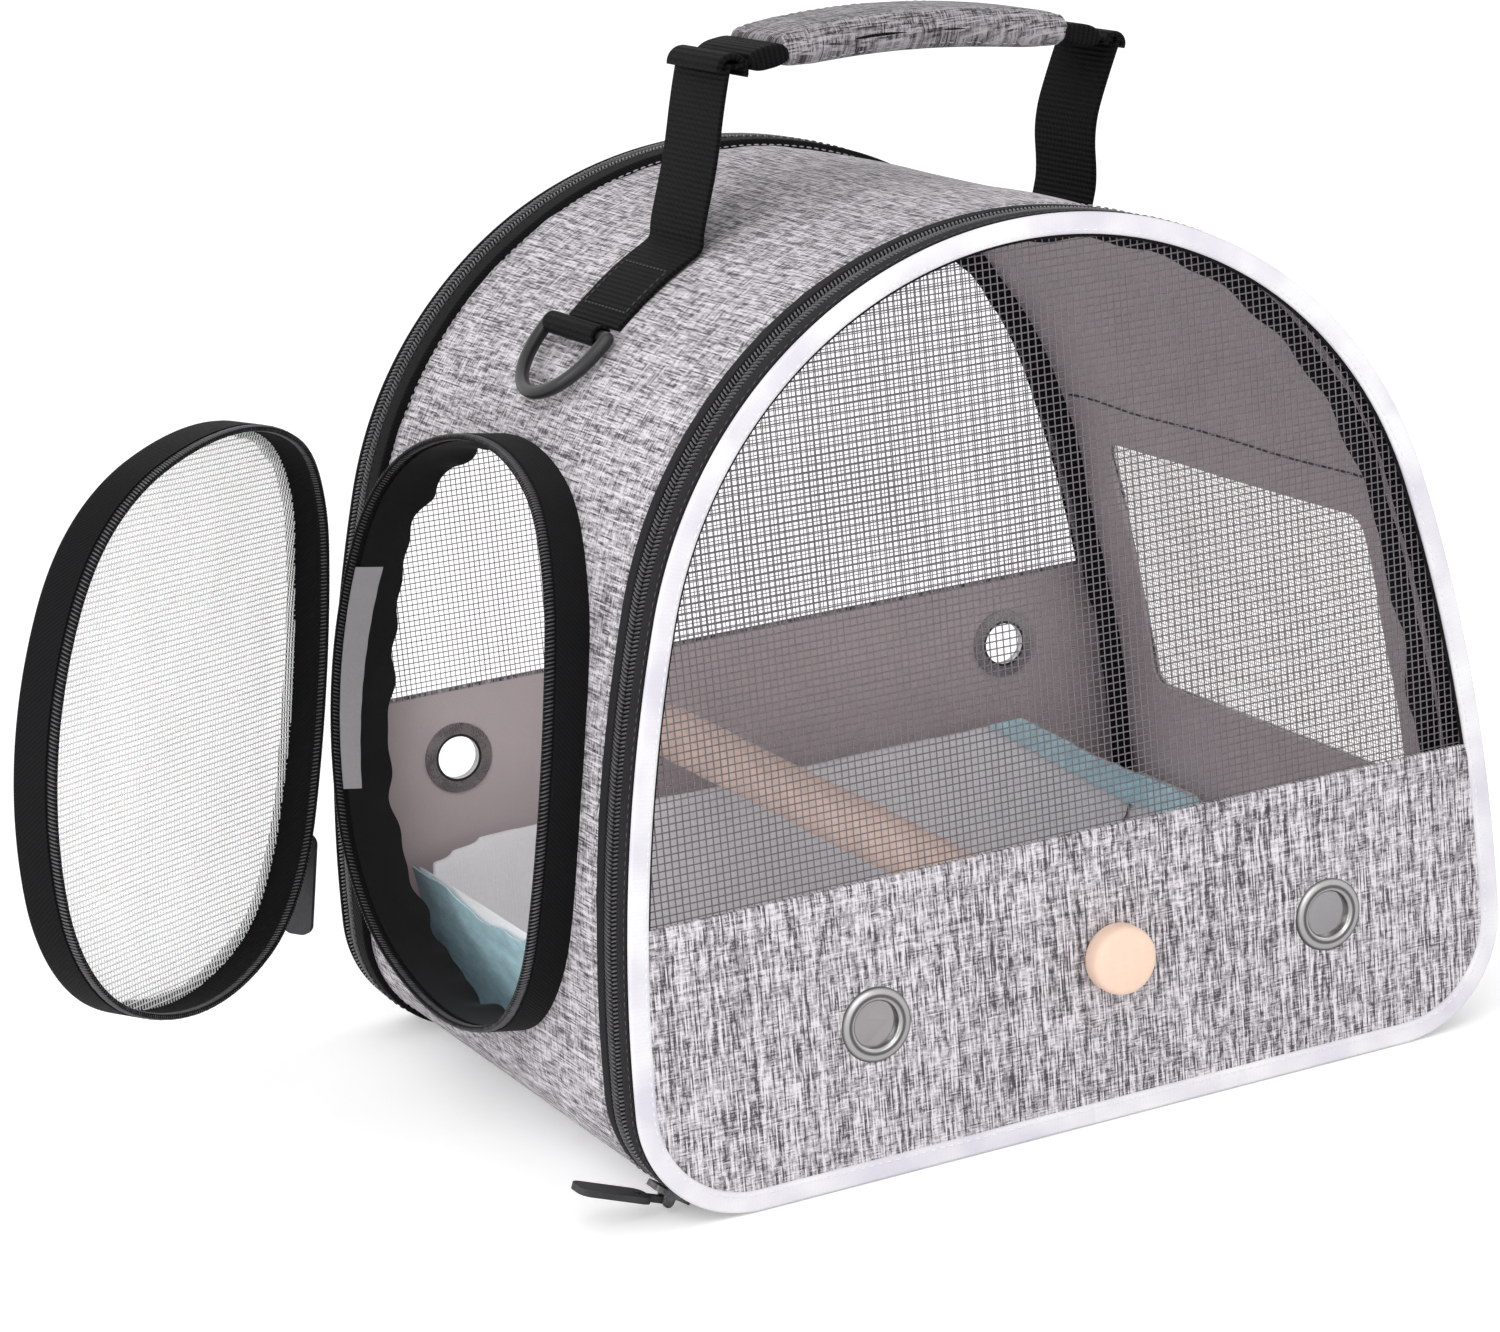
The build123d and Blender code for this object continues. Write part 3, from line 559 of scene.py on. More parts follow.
# ---- materials -------------------------------------------------------------------------
class Shader(Nodes):
    """A material round one surface, measured in metres."""

    def __init__(self, name):
        self.material = bpy.data.materials.new(name)
        self.material.use_nodes = True
        super().__init__(self.material.node_tree)
        self.tree.nodes.clear()
        self.skin = self.node("ShaderNodeBsdfPrincipled")
        self.node("ShaderNodeOutputMaterial", {0: self.skin.outputs[0]})

    def coords(self, uv=True):
        return self.add("ShaderNodeTexCoord", out="UV" if uv else "Object")

    def split(self, vector):
        return self.node("ShaderNodeSeparateXYZ", {0: vector}).outputs

    def noise(self, vector, detail=2.0, rough=0.5):
        return self.add("ShaderNodeTexNoise", {"Vector": vector, "Scale": 1.0,
                                               "Detail": detail, "Roughness": rough})

    def specks(self, vector, per_metre, detail=2.0, rough=0.5):
        """Noise with so many spots to the metre, one number or one for each axis."""
        by = per_metre if isinstance(per_metre, (tuple, list)) else (per_metre,) * 3
        scaled = self.add("ShaderNodeVectorMath", {0: vector, 1: by}, operation="MULTIPLY")
        return self.noise(scaled, detail, rough)

    def calc(self, operation, a, b=0.0):
        return self.add("ShaderNodeMath", {0: a, 1: b}, operation=operation)

    def plus(self, a, b, share=None):
        """a and b added, or a and a share of b."""
        return self.calc("ADD", a, b if share is None else self.calc("MULTIPLY", b, share))

    def part(self, a, share, base):
        """A share of a over a base value."""
        return self.calc("ADD", self.calc("MULTIPLY", a, share), base)

    def waves(self, vector, axis, pitch, phase=None):
        """A sine along one axis that repeats at a pitch."""
        turn = self.calc("MULTIPLY", self.split(vector)[axis], 2 * PI / pitch)
        if phase is not None:
            turn = self.calc("ADD", turn, phase)
        return self.calc("SINE", turn)

    def strands(self, across, along, pitch, run):
        """Threads side by side at a pitch, each with its own run of light and dark."""
        index = self.calc("FLOOR", self.calc("DIVIDE", across, pitch))
        own = self.add("ShaderNodeTexWhiteNoise", {"W": index}, noise_dimensions="1D")
        place = self.add("ShaderNodeCombineXYZ", {
            0: self.calc("MULTIPLY", index, 0.37),
            1: self.plus(self.calc("DIVIDE", along, run), own, 61.0)})
        uneven = self.noise(place, 2.0, 0.6)
        return self.plus(uneven, self.calc("SUBTRACT", own, 0.5), 0.16)

    def blend(self, factor, a, b):
        return self.add("ShaderNodeMix", {0: factor, 6: a, 7: b}, out=2, data_type="RGBA")

    def steps(self, factor, low, high):
        """Nought below low, one above high and even between."""
        return self.add("ShaderNodeMapRange", {0: factor, 1: low, 2: high})

    def shades(self, tone, low, high, colour, dark, light):
        """A colour from dark to light times itself, as tone goes from low to high."""
        return self.blend(self.steps(tone, low, high), rgb(colour, dark), rgb(colour, light))

    def finish(self, colour, rough, height, depth, strength, **extra):
        """Joins colour, roughness and relief to the surface; extra names other inputs."""
        bump = self.add("ShaderNodeBump", {"Height": height, "Distance": depth,
                                           "Strength": strength})
        given = {"Base Color": colour, "Roughness": rough, "Normal": bump}
        given.update({key.replace("_", " "): value for key, value in extra.items()})
        self.feed(self.skin, given)
        return self.material


def rgb(colour, by=1.0):
    """A colour times a number, with full alpha."""
    return (colour[0] * by, colour[1] * by, colour[2] * by, 1.0)


def slub(name, light, dark, lengthwise=1, uv=True, weft=0.34):
    """Linen look: every thread has its own uneven light and dark, over a fine plain weave."""
    m = Shader(name)
    at = m.coords(uv)
    parts = m.split(at)
    u, v = parts[0], parts[1]
    if not uv:
        v = m.plus(v, parts[2])
    if not lengthwise:
        u, v = v, u
    pitch = 0.00046
    warp = m.strands(u, v, pitch, 0.0088)
    cross = m.strands(v, u, pitch, 0.0042)
    both = m.plus(m.calc("MULTIPLY", warp, 0.84 - weft), cross, weft)
    both = m.plus(both, m.specks(at, 1 / 0.0004, 1.0), 0.16)
    colour = m.blend(m.steps(both, 0.412, 0.582), rgb(dark), rgb(light))
    colour = m.blend(m.calc("MULTIPLY", m.specks(at, 24), 0.12), colour, rgb(dark, 1.5))
    rough = m.plus(m.steps(both, -1.2, 1.9), 0.25)
    return m.finish(colour, rough, both, 0.0004, 0.5, Sheen_Weight=0.05, Sheen_Roughness=0.5,
                    Specular_IOR_Level=0.25)


def plain_cloth(name, colour, pitch=0.0006, contrast=0.12, rough=0.82, sheen=0.15, uv=True,
                lift=0.5, gloss=0.4):
    """Fine plain weave with soft unevenness."""
    m = Shader(name)
    at = m.coords(uv)
    weave = m.calc("MULTIPLY", m.waves(at, 0, pitch), m.waves(at, 1, pitch))
    patch = m.specks(at, 1 / 0.03, 3.0)
    tone = m.part(weave, 0.22, m.specks(at, 1 / pitch))
    tone = m.plus(m.calc("MULTIPLY", tone, 0.7), patch, 0.5)
    shade = m.shades(tone, 0.3, 0.95, colour, 1 - contrast, 1 + contrast)
    return m.finish(shade, m.part(patch, 0.15, rough - 0.07), tone, 0.0002, lift,
                    Sheen_Weight=sheen, Sheen_Roughness=0.45, Specular_IOR_Level=gloss)


def twill(name, colour, pitch=0.0011, contrast=0.35):
    """Slanted ribs of a zip tape, lighter in colour on the ridges."""
    m = Shader(name)
    at = m.coords(True)
    wander = m.calc("MULTIPLY", m.specks(at, 420), 2.2)
    parts = m.split(at)
    ribs = m.calc("SINE", m.part(m.plus(parts[0], parts[1]), 2 * PI / pitch, wander))
    fuzz = m.specks(at, 2600)
    tone = m.plus(m.part(ribs, 0.3, fuzz), m.specks(at, 34), 0.35)
    shade = m.shades(tone, 0.3, 1.15, colour, 1 - contrast, 1 + contrast)
    return m.finish(shade, m.part(fuzz, 0.2, 0.72), tone, 0.0003, 0.5,
                    Sheen_Weight=0.02, Sheen_Roughness=0.4, Specular_IOR_Level=0.14)


def ribbed(name, colour):
    """Webbing with ribs across it and fine threads along it."""
    m = Shader(name)
    at = m.coords(True)
    fuzz = m.specks(at, 1500)
    ribs = m.waves(at, 0, 0.0017, m.calc("MULTIPLY", fuzz, 0.8))
    tone = m.plus(m.calc("MULTIPLY", ribs, 0.5), m.waves(at, 1, 0.0009), 0.12)
    tone = m.plus(tone, fuzz, 0.5)
    shade = m.shades(tone, -0.4, 1.0, colour, 0.3, 1.5)
    return m.finish(shade, m.part(fuzz, 0.3, 0.55), tone, 0.0006, 0.8,
                    Sheen_Weight=0.008, Sheen_Roughness=0.4, Specular_IOR_Level=0.08)


def hard(name, colour, rough=0.35, metallic=0.0, scratch=0.12, worn=None, coat=0.0):
    """Moulded plastic, lacquer or plated metal with fine marks and uneven gloss."""
    m = Shader(name)
    at = m.coords(False)
    marks = m.specks(at, (2600, 2600 * 0.12, 2600 * 0.4), 3.0, 0.65)
    both = m.plus(m.calc("MULTIPLY", marks, 0.5), m.specks(at, 160, 3.0), 0.5)
    tone = m.steps(both, 0.35, 0.65)
    shade = m.blend(tone, rgb(colour, 1 - scratch), rgb(worn or colour, 1 + scratch))
    return m.finish(shade, m.part(both, 0.3, rough - 0.13), marks, 0.00008, 0.35,
                    Metallic=metallic, Coat_Weight=coat)


def timber(name, colour, dark, axis=1, knot=1.0, bands=0.16):
    """Bare turned wood: long grain, pores and soft growth bands."""
    m = Shader(name)
    at = m.coords(False)
    by, pores = [90.0] * 3, [2400.0] * 3
    by[axis], pores[axis] = 7.0, 130.0
    warp = m.specks(at, by, 3.0)
    rings = m.waves(at, 0, 0.0042, m.calc("MULTIPLY", warp, 9.0 * knot))
    pore = m.specks(at, pores, 2.0, 0.7)
    tone = m.plus(m.calc("MULTIPLY", rings, bands), pore, 0.55)
    shade = m.shades(m.plus(tone, warp, 0.35), 0.15, 0.75, colour, dark, 1.0)
    return m.finish(shade, m.part(pore, 0.25, 0.48), pore, 0.00012, 0.4)


def thread(name, colour, rough=0.6, spread=0.2, glow=0.0):
    """Twisted thread of a net or stitch."""
    m = Shader(name)
    at = m.coords(False)
    twist = m.specks(at, 1900, 1.0)
    both = m.plus(m.calc("MULTIPLY", twist, 0.6), m.specks(at, 60), 0.4)
    shade = m.shades(both, 0.3, 0.7, colour, 1 - spread, 1 + spread)
    return m.finish(shade, m.part(twist, 0.3, rough - 0.15), twist, 0.0001, 0.4,
                    Subsurface_Weight=glow, Subsurface_Scale=0.001)


def edge_binding(name, colour, shade_colour):
    """White edge binding mottled with painted cool shade, with a fine rib."""
    m = Shader(name)
    at = m.coords(True)
    fuzz = m.specks(at, 1800)
    tone = m.part(m.waves(at, 0, 0.0012), 0.15, fuzz)
    # Painted shade: random patches and the rib's tone pull the white towards the cool shade colour.
    base = m.blend(m.steps(m.specks(at, 40), 0.35, 0.65), rgb(colour), rgb(shade_colour, 1.12))
    shade = m.blend(m.calc("MULTIPLY", tone, 0.22), base, rgb(shade_colour))
    return m.finish(shade, m.part(fuzz, 0.2, 0.5), tone, 0.0002, 0.4,
                    Sheen_Weight=0.2, Sheen_Roughness=0.4)


def thin_film(name, colour):
    """Thin blue film at the edge of the pad: creased, slightly glossy."""
    m = Shader(name)
    at = m.coords(False)
    crease = m.specks(at, (110, 60, 130), 4.0, 0.7)
    dots = m.specks(at, 1400, 1.0)
    shade = m.shades(crease, 0.35, 0.7, colour, 0.8, 1.12)
    return m.finish(shade, m.part(dots, 0.2, 0.35), m.plus(crease, dots, 0.06), 0.0015, 0.5,
                    Subsurface_Weight=0.1, Subsurface_Scale=0.002)


def rolled_metal(name, colour):
    """Plated eyelet: bright inner roll, painted shade in the recess of the roll and a painted
    shadow line at the outer edge, read along its profile.
    """
    m = Shader(name)
    run = m.split(m.coords(True))[0]
    # Painted shadow line: the outer edge of the flange is darkened.
    outer = m.steps(run, 0.0068, 0.0076)
    near = m.calc("ABSOLUTE", m.calc("SUBTRACT", run, 0.0050))
    # Painted shade in the recess of the roll.
    hollow_shade = m.steps(near, 0.0008, 0.0003)
    marks = m.specks(m.coords(False), 2400, 3.0, 0.6)
    both = m.calc("MAXIMUM", m.calc("MULTIPLY", outer, 0.92), m.calc("MULTIPLY", hollow_shade, 0.8))
    # Where the painted shade masks are set, the plated colour falls nearly to black.
    tone = m.blend(both, rgb(colour, 1.1), rgb(colour, 0.07))
    shade = m.blend(m.calc("MULTIPLY", marks, 0.2), tone, rgb(colour, 0.6))
    return m.finish(shade, m.part(marks, 0.25, 0.18), marks, 0.00006, 0.3, Metallic=1.0)


MATS = {}


def mat(name):
    """The material called name, made on first use from the scene's colours."""
    if name not in MATS:
        c = bpy.context.scene.carrier_colours
        light, dark = c.linen_light, c.linen_dark
        # Painted light: the band lining is the lining cloth made lighter, for the light that
        # reaches the low bands inside.
        lit_lining = [min(v * 1.3, 0.8) for v in c.lining]
        kinds = {
            "linen": (slub, light, dark),
            "linen_band": (slub, light, dark, 1, True, 0.28),
            "linen_grip": (slub, [v * 0.58 for v in light], [v * 0.5 for v in dark], 0, False),
            "band_lining": (plain_cloth, lit_lining, 0.0005, 0.10, 0.62, 0.12),
            "lining": (plain_cloth, c.lining, 0.0005, 0.10, 0.62, 0.12),
            "tape": (twill, c.tape),
            "rim_cloth": (twill, c.black, 0.0015, 0.45),
            "gathered": (plain_cloth, c.black, 0.0008, 0.35, 0.8, 0.03, True, 0.5, 0.22),
            # Coil teeth: real coat gloss, and a lighter colour that is painted highlight.
            "coil": (hard, c.coil, 0.32, 0.0, 0.3, None, 0.3),
            "coil_base": (twill, [v * 0.07 for v in c.coil], 0.0009),
            "white_binding": (edge_binding, c.binding, c.binding_shade),
            "net": (thread, c.net, 0.6, 0.25),
            "net_back": (thread, c.net_back, 0.6, 0.2),
            "net_door": (thread, c.net_door, 0.55, 0.06, 0.1),
            "net_window": (thread, c.net_window, 0.55, 0.08, 0.1),
            "hinge_grey": (plain_cloth, c.hinge, 0.0009, 0.12, 0.75),
            "board": (hard, (0.12, 0.12, 0.125), 0.6),
            "pad_white": (plain_cloth, c.pad, 0.0011, 0.05, 0.9, 0.1, False, 0.7),
            "pad_blue": (thin_film, c.film),
            "steel": (hard, (0.42, 0.42, 0.44), 0.32, 1.0),
            "nickel": (hard, c.nickel, 0.26, 1.0, 0.2, None, 0.1),
            "eyelet": (rolled_metal, c.nickel),
            "zinc": (hard, (0.6, 0.6, 0.62), 0.35, 1.0),
            "wood": (timber, c.wood, 0.84),
            "cap_wood": (timber, c.cap, 0.86, 0, 0.5, 0.03),
            "webbing": (ribbed, c.black),
            "ring_black": (hard, (0.012, 0.012, 0.013), 0.42, 0.0, 0.12, None, 0.12),
            "rubber": (hard, (0.014, 0.014, 0.016), 0.55, 0.0, 0.12, (0.035, 0.035, 0.038)),
            "lacquer": (hard, (0.03, 0.03, 0.032), 0.32, 0.4, 0.3, (0.16, 0.16, 0.17), 0.3),
            "thread_white": (thread, (0.8, 0.8, 0.82), 0.6, 0.08),
            "thread_dark": (thread, (0.04, 0.04, 0.042), 0.55),
            "thread_grey": (thread, (0.34, 0.33, 0.35), 0.6),
        }
        maker, *values = kinds[name]
        MATS[name] = maker(name, *values)
    return MATS[name]


def paint(piece, name):
    """Gives a piece its material."""
    piece.data.materials.clear()
    piece.data.materials.append(mat(name))
    return piece


def settle(piece, body, slot, *nodes):
    """Puts a finished piece on its body."""
    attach(piece, body)
    if nodes:
        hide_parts(*nodes)
    return piece


def dress(node, material):
    """A CAD node that is shown as it is gets its material."""
    paint(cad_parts[node], material)


# ---- the doorway's outline -------------------------------------------------------------
DOOR_A, DOOR_B, DOOR_Q = 0.022, 0.026, 0.062
DOOR_SIDE = 0.0605
DOOR_TOP = 0.0325
DOOR_AT = Vector((-0.142411, 0.005, 0.1265))
DOOR_OUT = Vector((-0.985706, 0, 0.168475)).normalized()
DOOR_UP = Vector((-DOOR_OUT.z, 0, DOOR_OUT.x)) * -1
DOOR_U = Vector((0, -1, 0))
HINGE_AT = Vector((-0.155369, 0.093, 0.128715))
OPEN = Matrix.Translation(HINGE_AT) @ Matrix.Rotation(math.radians(-47), 4, DOOR_UP) \
    @ Matrix.Translation(-HINGE_AT)


def oval(count, inset=0.0):
    """The doorway's outline as local (u, v) points and outward normals, evenly spaced."""
    a, b, q = DOOR_A, DOOR_B, DOOR_Q
    t0 = math.atan2(b, a + DOOR_SIDE)
    t1 = math.atan2(b + DOOR_TOP, a)
    wide = DOOR_SIDE + 0.026 + q
    tall = DOOR_TOP + 0.030 + q
    arcs = [(-DOOR_SIDE, 0, wide, -t0, t0), (a, b, q, t0, t1), (0, -DOOR_TOP, tall, t1, PI - t1),
            (-a, b, q, PI - t1, PI - t0), (DOOR_SIDE, 0, wide, PI - t0, PI + t0),
            (-a, -b, q, PI + t0, PI + t1), (0, DOOR_TOP, tall, PI + t1, 2 * PI - t1),
            (a, -b, q, 2 * PI - t1, 2 * PI - t0)]
    length = np.array([r * (e - s) for _, _, r, s, e in arcs])
    starts = np.concatenate([[0], np.cumsum(length)])
    at = np.linspace(0, starts[-1], count, endpoint=False)
    k = np.clip(np.searchsorted(starts, at, side="right") - 1, 0, 7)
    rows = np.array(arcs)[k]
    turn = rows[:, 3] + (at - starts[k]) / rows[:, 2]
    n = np.stack([np.cos(turn), np.sin(turn)], 1)
    p = rows[:, :2] + n * (rows[:, 2:3] - np.reshape(inset, (-1, 1)))
    return p, n, at


def outside(x, z):
    """Distance outside the body's outline."""
    x = np.abs(x)
    side = np.hypot(x - HALF + SIDE_R, z - CORNER) - SIDE_R
    roof = np.hypot(x, z - ROOF_Z) - ROOF_R
    low = np.hypot(x - FLAT, z - CORNER) - CORNER
    return np.where(z - ROOF_Z > math.tan(SIDE_A) * x, roof, np.where(z < CORNER, low, side))


def on_wall(u, v, height, opened=False):
    """Points over the left wall at door coordinates u and v, a height outside its surface."""
    u, v, height = np.broadcast_arrays(u, v, height)
    base = (np.array(DOOR_AT) + u[..., None] * np.array(DOOR_U)
            + v[..., None] * np.array(DOOR_UP))
    w = np.array(height, float)
    for _ in range(12):
        x = base[..., 0] + w * DOOR_OUT.x
        z = base[..., 2] + w * DOOR_OUT.z
        w = w - (outside(x, z) - height)
    p = base + w[..., None] * np.array(DOOR_OUT)
    if opened:
        m = np.array(OPEN)
        p = p @ m[:3, :3].T + m[:3, 3]
    return p


def door_band(name, inset0, inset1, h0, h1, r, count, opened=False):
    """Band round the doorway between two insets and two heights over the wall."""
    shape = rounded(inset1 - inset0, h1 - h0, r)
    inset, height = (inset0 + inset1) / 2 + shape[:, :1], (h0 + h1) / 2 + shape[:, 1]
    base, n, _ = oval(count)
    rows = []
    for k in range(count):
        p = base[k] - n[k] * inset
        rows.append(on_wall(p[:, 0], p[:, 1], height, opened))
    return loft(name, rows)


# ---- pieces: body ----------------------------------------------------------------------
FRONT, BACK = -0.120, 0.120
SHELL_Y = (-0.0957, 0.0977)
LINING_Y = (-0.1007, 0.1067)
WINDOW_Y = (-0.0840, 0.0880)
WINDOW_Z = (0.065, 0.166)
STITCH_OUT = -0.00005


def dent(s, y, ends):
    """How far the wall's cloth sinks: puckers along the seams and soft waves between."""
    z = arch(s)[1]
    free = np.clip((z - 0.018) / 0.03, 0, 1)
    edge = np.minimum(np.abs(y - ends[0]), np.abs(y - ends[1]))
    pucker = 0.00035 * np.exp(-edge / 0.006) * (1 + ripple(s, y, 5, 6, 0.016, 0.1))
    waves = 0.00045 * (1 + ripple(s, y, 6, 7, 0.09))
    return free * (pucker + waves)


def oval_cutter():
    """A plug through the left wall in the doorway's outline."""
    base = oval(96)[0]
    rows = [[np.array(DOOR_AT + DOOR_U * a + DOOR_UP * b + DOOR_OUT * w) for a, b in base]
            for w in (-0.03, 0.05)]
    return loft("door_cutter", np.array(rows), wrap=False)


def window_cutter(inset):
    """A plug through the right wall in the window's outline."""
    y0, y1 = WINDOW_Y[0] + inset, WINDOW_Y[1] - inset
    z0, z1 = WINDOW_Z[0] + inset, WINDOW_Z[1] - inset
    shape = rounded(y1 - y0, z1 - z0, 0.012 - inset, 8) + [(y0 + y1) / 2, (z0 + z1) / 2]
    rows = [xyz(x, shape[:, 0], shape[:, 1]) for x in (0.12, 0.2)]
    return loft("window_cutter", rows, wrap=False)


def wall_sheet(name, inset0, inset1, ends, wrinkle=None):
    """Cloth all round the body between two insets and two depths."""
    s = np.linspace(0, AROUND, 420, endpoint=False)
    y = np.linspace(*ends, 60)
    su, yv = np.meshgrid(s, y, indexing="ij")
    d = dent(su, yv, SHELL_Y)
    extra = wrinkle(su, yv) if wrinkle else 0.0
    outer = wall_at(su, yv, inset0 + d)
    inner = wall_at(su, yv, inset1 + d + extra)
    full, yfull = np.meshgrid(np.append(s, AROUND), y, indexing="ij")
    return solid(name, outer, inner, np.stack([full, yfull], -1), wrap=True)


def seam_row(name, y, inset, material, pitch=0.0028, size=(0.002, 0.0006, 0.0005)):
    """Stitches all round the body at one depth."""
    s = np.linspace(0, AROUND, 1400, endpoint=False)
    path = wall_at(s, y, inset)
    pts, run = along_path(path, pitch, closed=True)
    return beads(name, pts, run, (0, 1, 0), size, material)


class CarrierBody(bpy.types.Operator):
    """Make the outer cloth and the lining, and give the floor board its material"""
    bl_idname = "carrier.body"
    bl_label = "Body"

    def execute(self, context):
        shell = wall_sheet("shell_cloth", 0.0, 0.0016, SHELL_Y)
        cut(shell, [oval_cutter(), window_cutter(0.0)])
        settle(paint(shell, "linen"), "shell", "grey_linen", "shell_fabric")

        def soft(s, y):
            z = arch(s)[1]
            free = np.clip((z - 0.05) / 0.06, 0, 1)
            return free * 0.0007 * (1 + ripple(s, y, 11, 8, 0.06))

        lining = wall_sheet("lining_cloth", 0.0016, 0.0022, LINING_Y, soft)
        cut(lining, [oval_cutter(), window_cutter(0.0058)])
        settle(paint(lining, "lining"), "shell", "lining_cloth", "shell_lining")
        y = np.linspace(-0.092, 0.098, 60)
        s = np.full(y.shape, s_at(0.176))
        sag = 0.0023 + dent(s, y, SHELL_Y) + soft(s, y)
        seam = tube("lining_seam_176", wall_at(s, y, sag), 0.0004)
        settle(paint(seam, "thread_dark"), "shell", "lining_cloth")
        for k, y0 in enumerate((SHELL_Y[0] + 0.002, SHELL_Y[1] - 0.0022)):
            row = seam_row("edge_stitches_%d" % k, y0, STITCH_OUT, mat("thread_grey"))
            settle(row, "shell", "grey_linen")
        dress("base_board", "board")
        return {"FINISHED"}


def fin(name, y0, y1, seed, height):
    """Gathered binding round a seam inside the body: a wavy folded strip standing inwards."""
    count, per = 620, 13
    s = np.linspace(0, AROUND, count, endpoint=False)
    z = arch(s)[1]
    deep = np.where(z > 0.03, 1.0, 0.35)
    rows = []
    wide = ripple(s, s * 0, seed, 9, 0.035, 0)
    fold = ripple(s, s * 0, seed + 1, 9, 0.022, 0)
    for k in range(count):
        top = 0.0026 + deep[k] * (height + 0.0013 * wide[k])
        lean = 0.0009 * fold[k] * deep[k]
        t = np.linspace(0, 1, per)
        inset = 0.0024 + t * (top - 0.0024)
        mid = (y0 + y1) / 2 + lean * np.sin(t * PI * 0.9)
        half = 0.0011 * (0.55 + 0.45 * np.sqrt(np.maximum(1 - (2 * t - 1) ** 4, 0)))
        rows.append(wall_at(s[k], np.concatenate([mid - half, (mid + half)[::-1]]),
                            np.concatenate([inset, inset[::-1]])))
    return loft(name, rows)


def window_net():
    """Fine white net in the right wall, as two sets of threads lying on the wall's curve."""
    pitch = sizes().window_net_pitch
    y0, y1 = WINDOW_Y[0] - 0.001, WINDOW_Y[1] + 0.001
    s0, s1 = s_at(WINDOW_Z[0] - 0.001), s_at(WINDOW_Z[1] + 0.001)

    def lie(s, y):
        s, y = np.broadcast_arrays(s, y)
        return wall_at(s, y, 0.0008 + 0.0003 * ripple(s, y, 21))

    lines = [lie(np.linspace(s0, s1, 14), y) for y in np.arange(y0 + pitch / 2, y1, pitch)]
    lines += [lie(s, np.linspace(y0, y1, 14)) for s in np.arange(s0 + pitch / 2, s1, pitch)]
    return threads("window_net", lines, sizes().window_net_thread, mat("net_window"), 0.0003, 90.0)


class CarrierWindow(bpy.types.Operator):
    """Make the right wall's net window and the gathered bindings inside"""
    bl_idname = "carrier.window"
    bl_label = "Window and inner bindings"

    def execute(self, context):
        settle(window_net(), "shell", "white_mesh", "window_mesh")
        rows = []
        shape = rounded(0.166, 0.095, 0.010, 10)
        per = rounded(0.0055, 0.0007, 0.0003, 2)
        mid_y, mid_z = sum(WINDOW_Y) / 2, sum(WINDOW_Z) / 2
        n = len(shape)
        for k in range(n):
            d = shape[(k + 1) % n] - shape[k - 1]
            d = np.array([d[1], -d[0]]) / np.linalg.norm(d)
            p = [shape[k] + d * a for a, _ in per]
            out = []
            for (yy, zz), (_, h) in zip(p, per):
                s = s_at(zz + mid_z)
                out.append(wall_at(np.array(s), yy + mid_y, 0.0001 + 0.00035 - h))
            rows.append(out)
        edging = loft("window_edging_cloth", np.array(rows))
        settle(paint(edging, "linen"), "shell", "grey_linen", "window_edging")
        for end, y0, seed, height in (("front", -0.1004, 31, sizes().fin_front),
                                      ("back", 0.1031, 37, sizes().fin_back)):
            made = fin(end + "_gathered_binding", y0, y0 + 0.0026, seed, height)
            settle(paint(made, "gathered"), "shell", "black_binding", end + "_seam_binding")
        return {"FINISHED"}


# ---- pieces: zips ----------------------------------------------------------------------
BACK_OUT = -0.0022


def coil_row(name, y0, y1, inset, slant, body, floor=None):
    """One half of the zip round the body: slanted teeth between two depths."""
    s = np.linspace(0, AROUND, 2000, endpoint=False)
    path = wall_at(s, (y0 + y1) / 2, inset)
    if floor is not None:
        path[:, 2] = np.maximum(path[:, 2], floor)
    pts, run = along_path(path, sizes().coil_pitch, closed=True)
    teeth = beads(name, pts, run, (0, 1, 0), (0.00092, abs(y1 - y0) + 0.0004, 0.0019),
                  mat("coil"), slant=slant, vary=0.04)
    return settle(teeth, body, "black_coil")


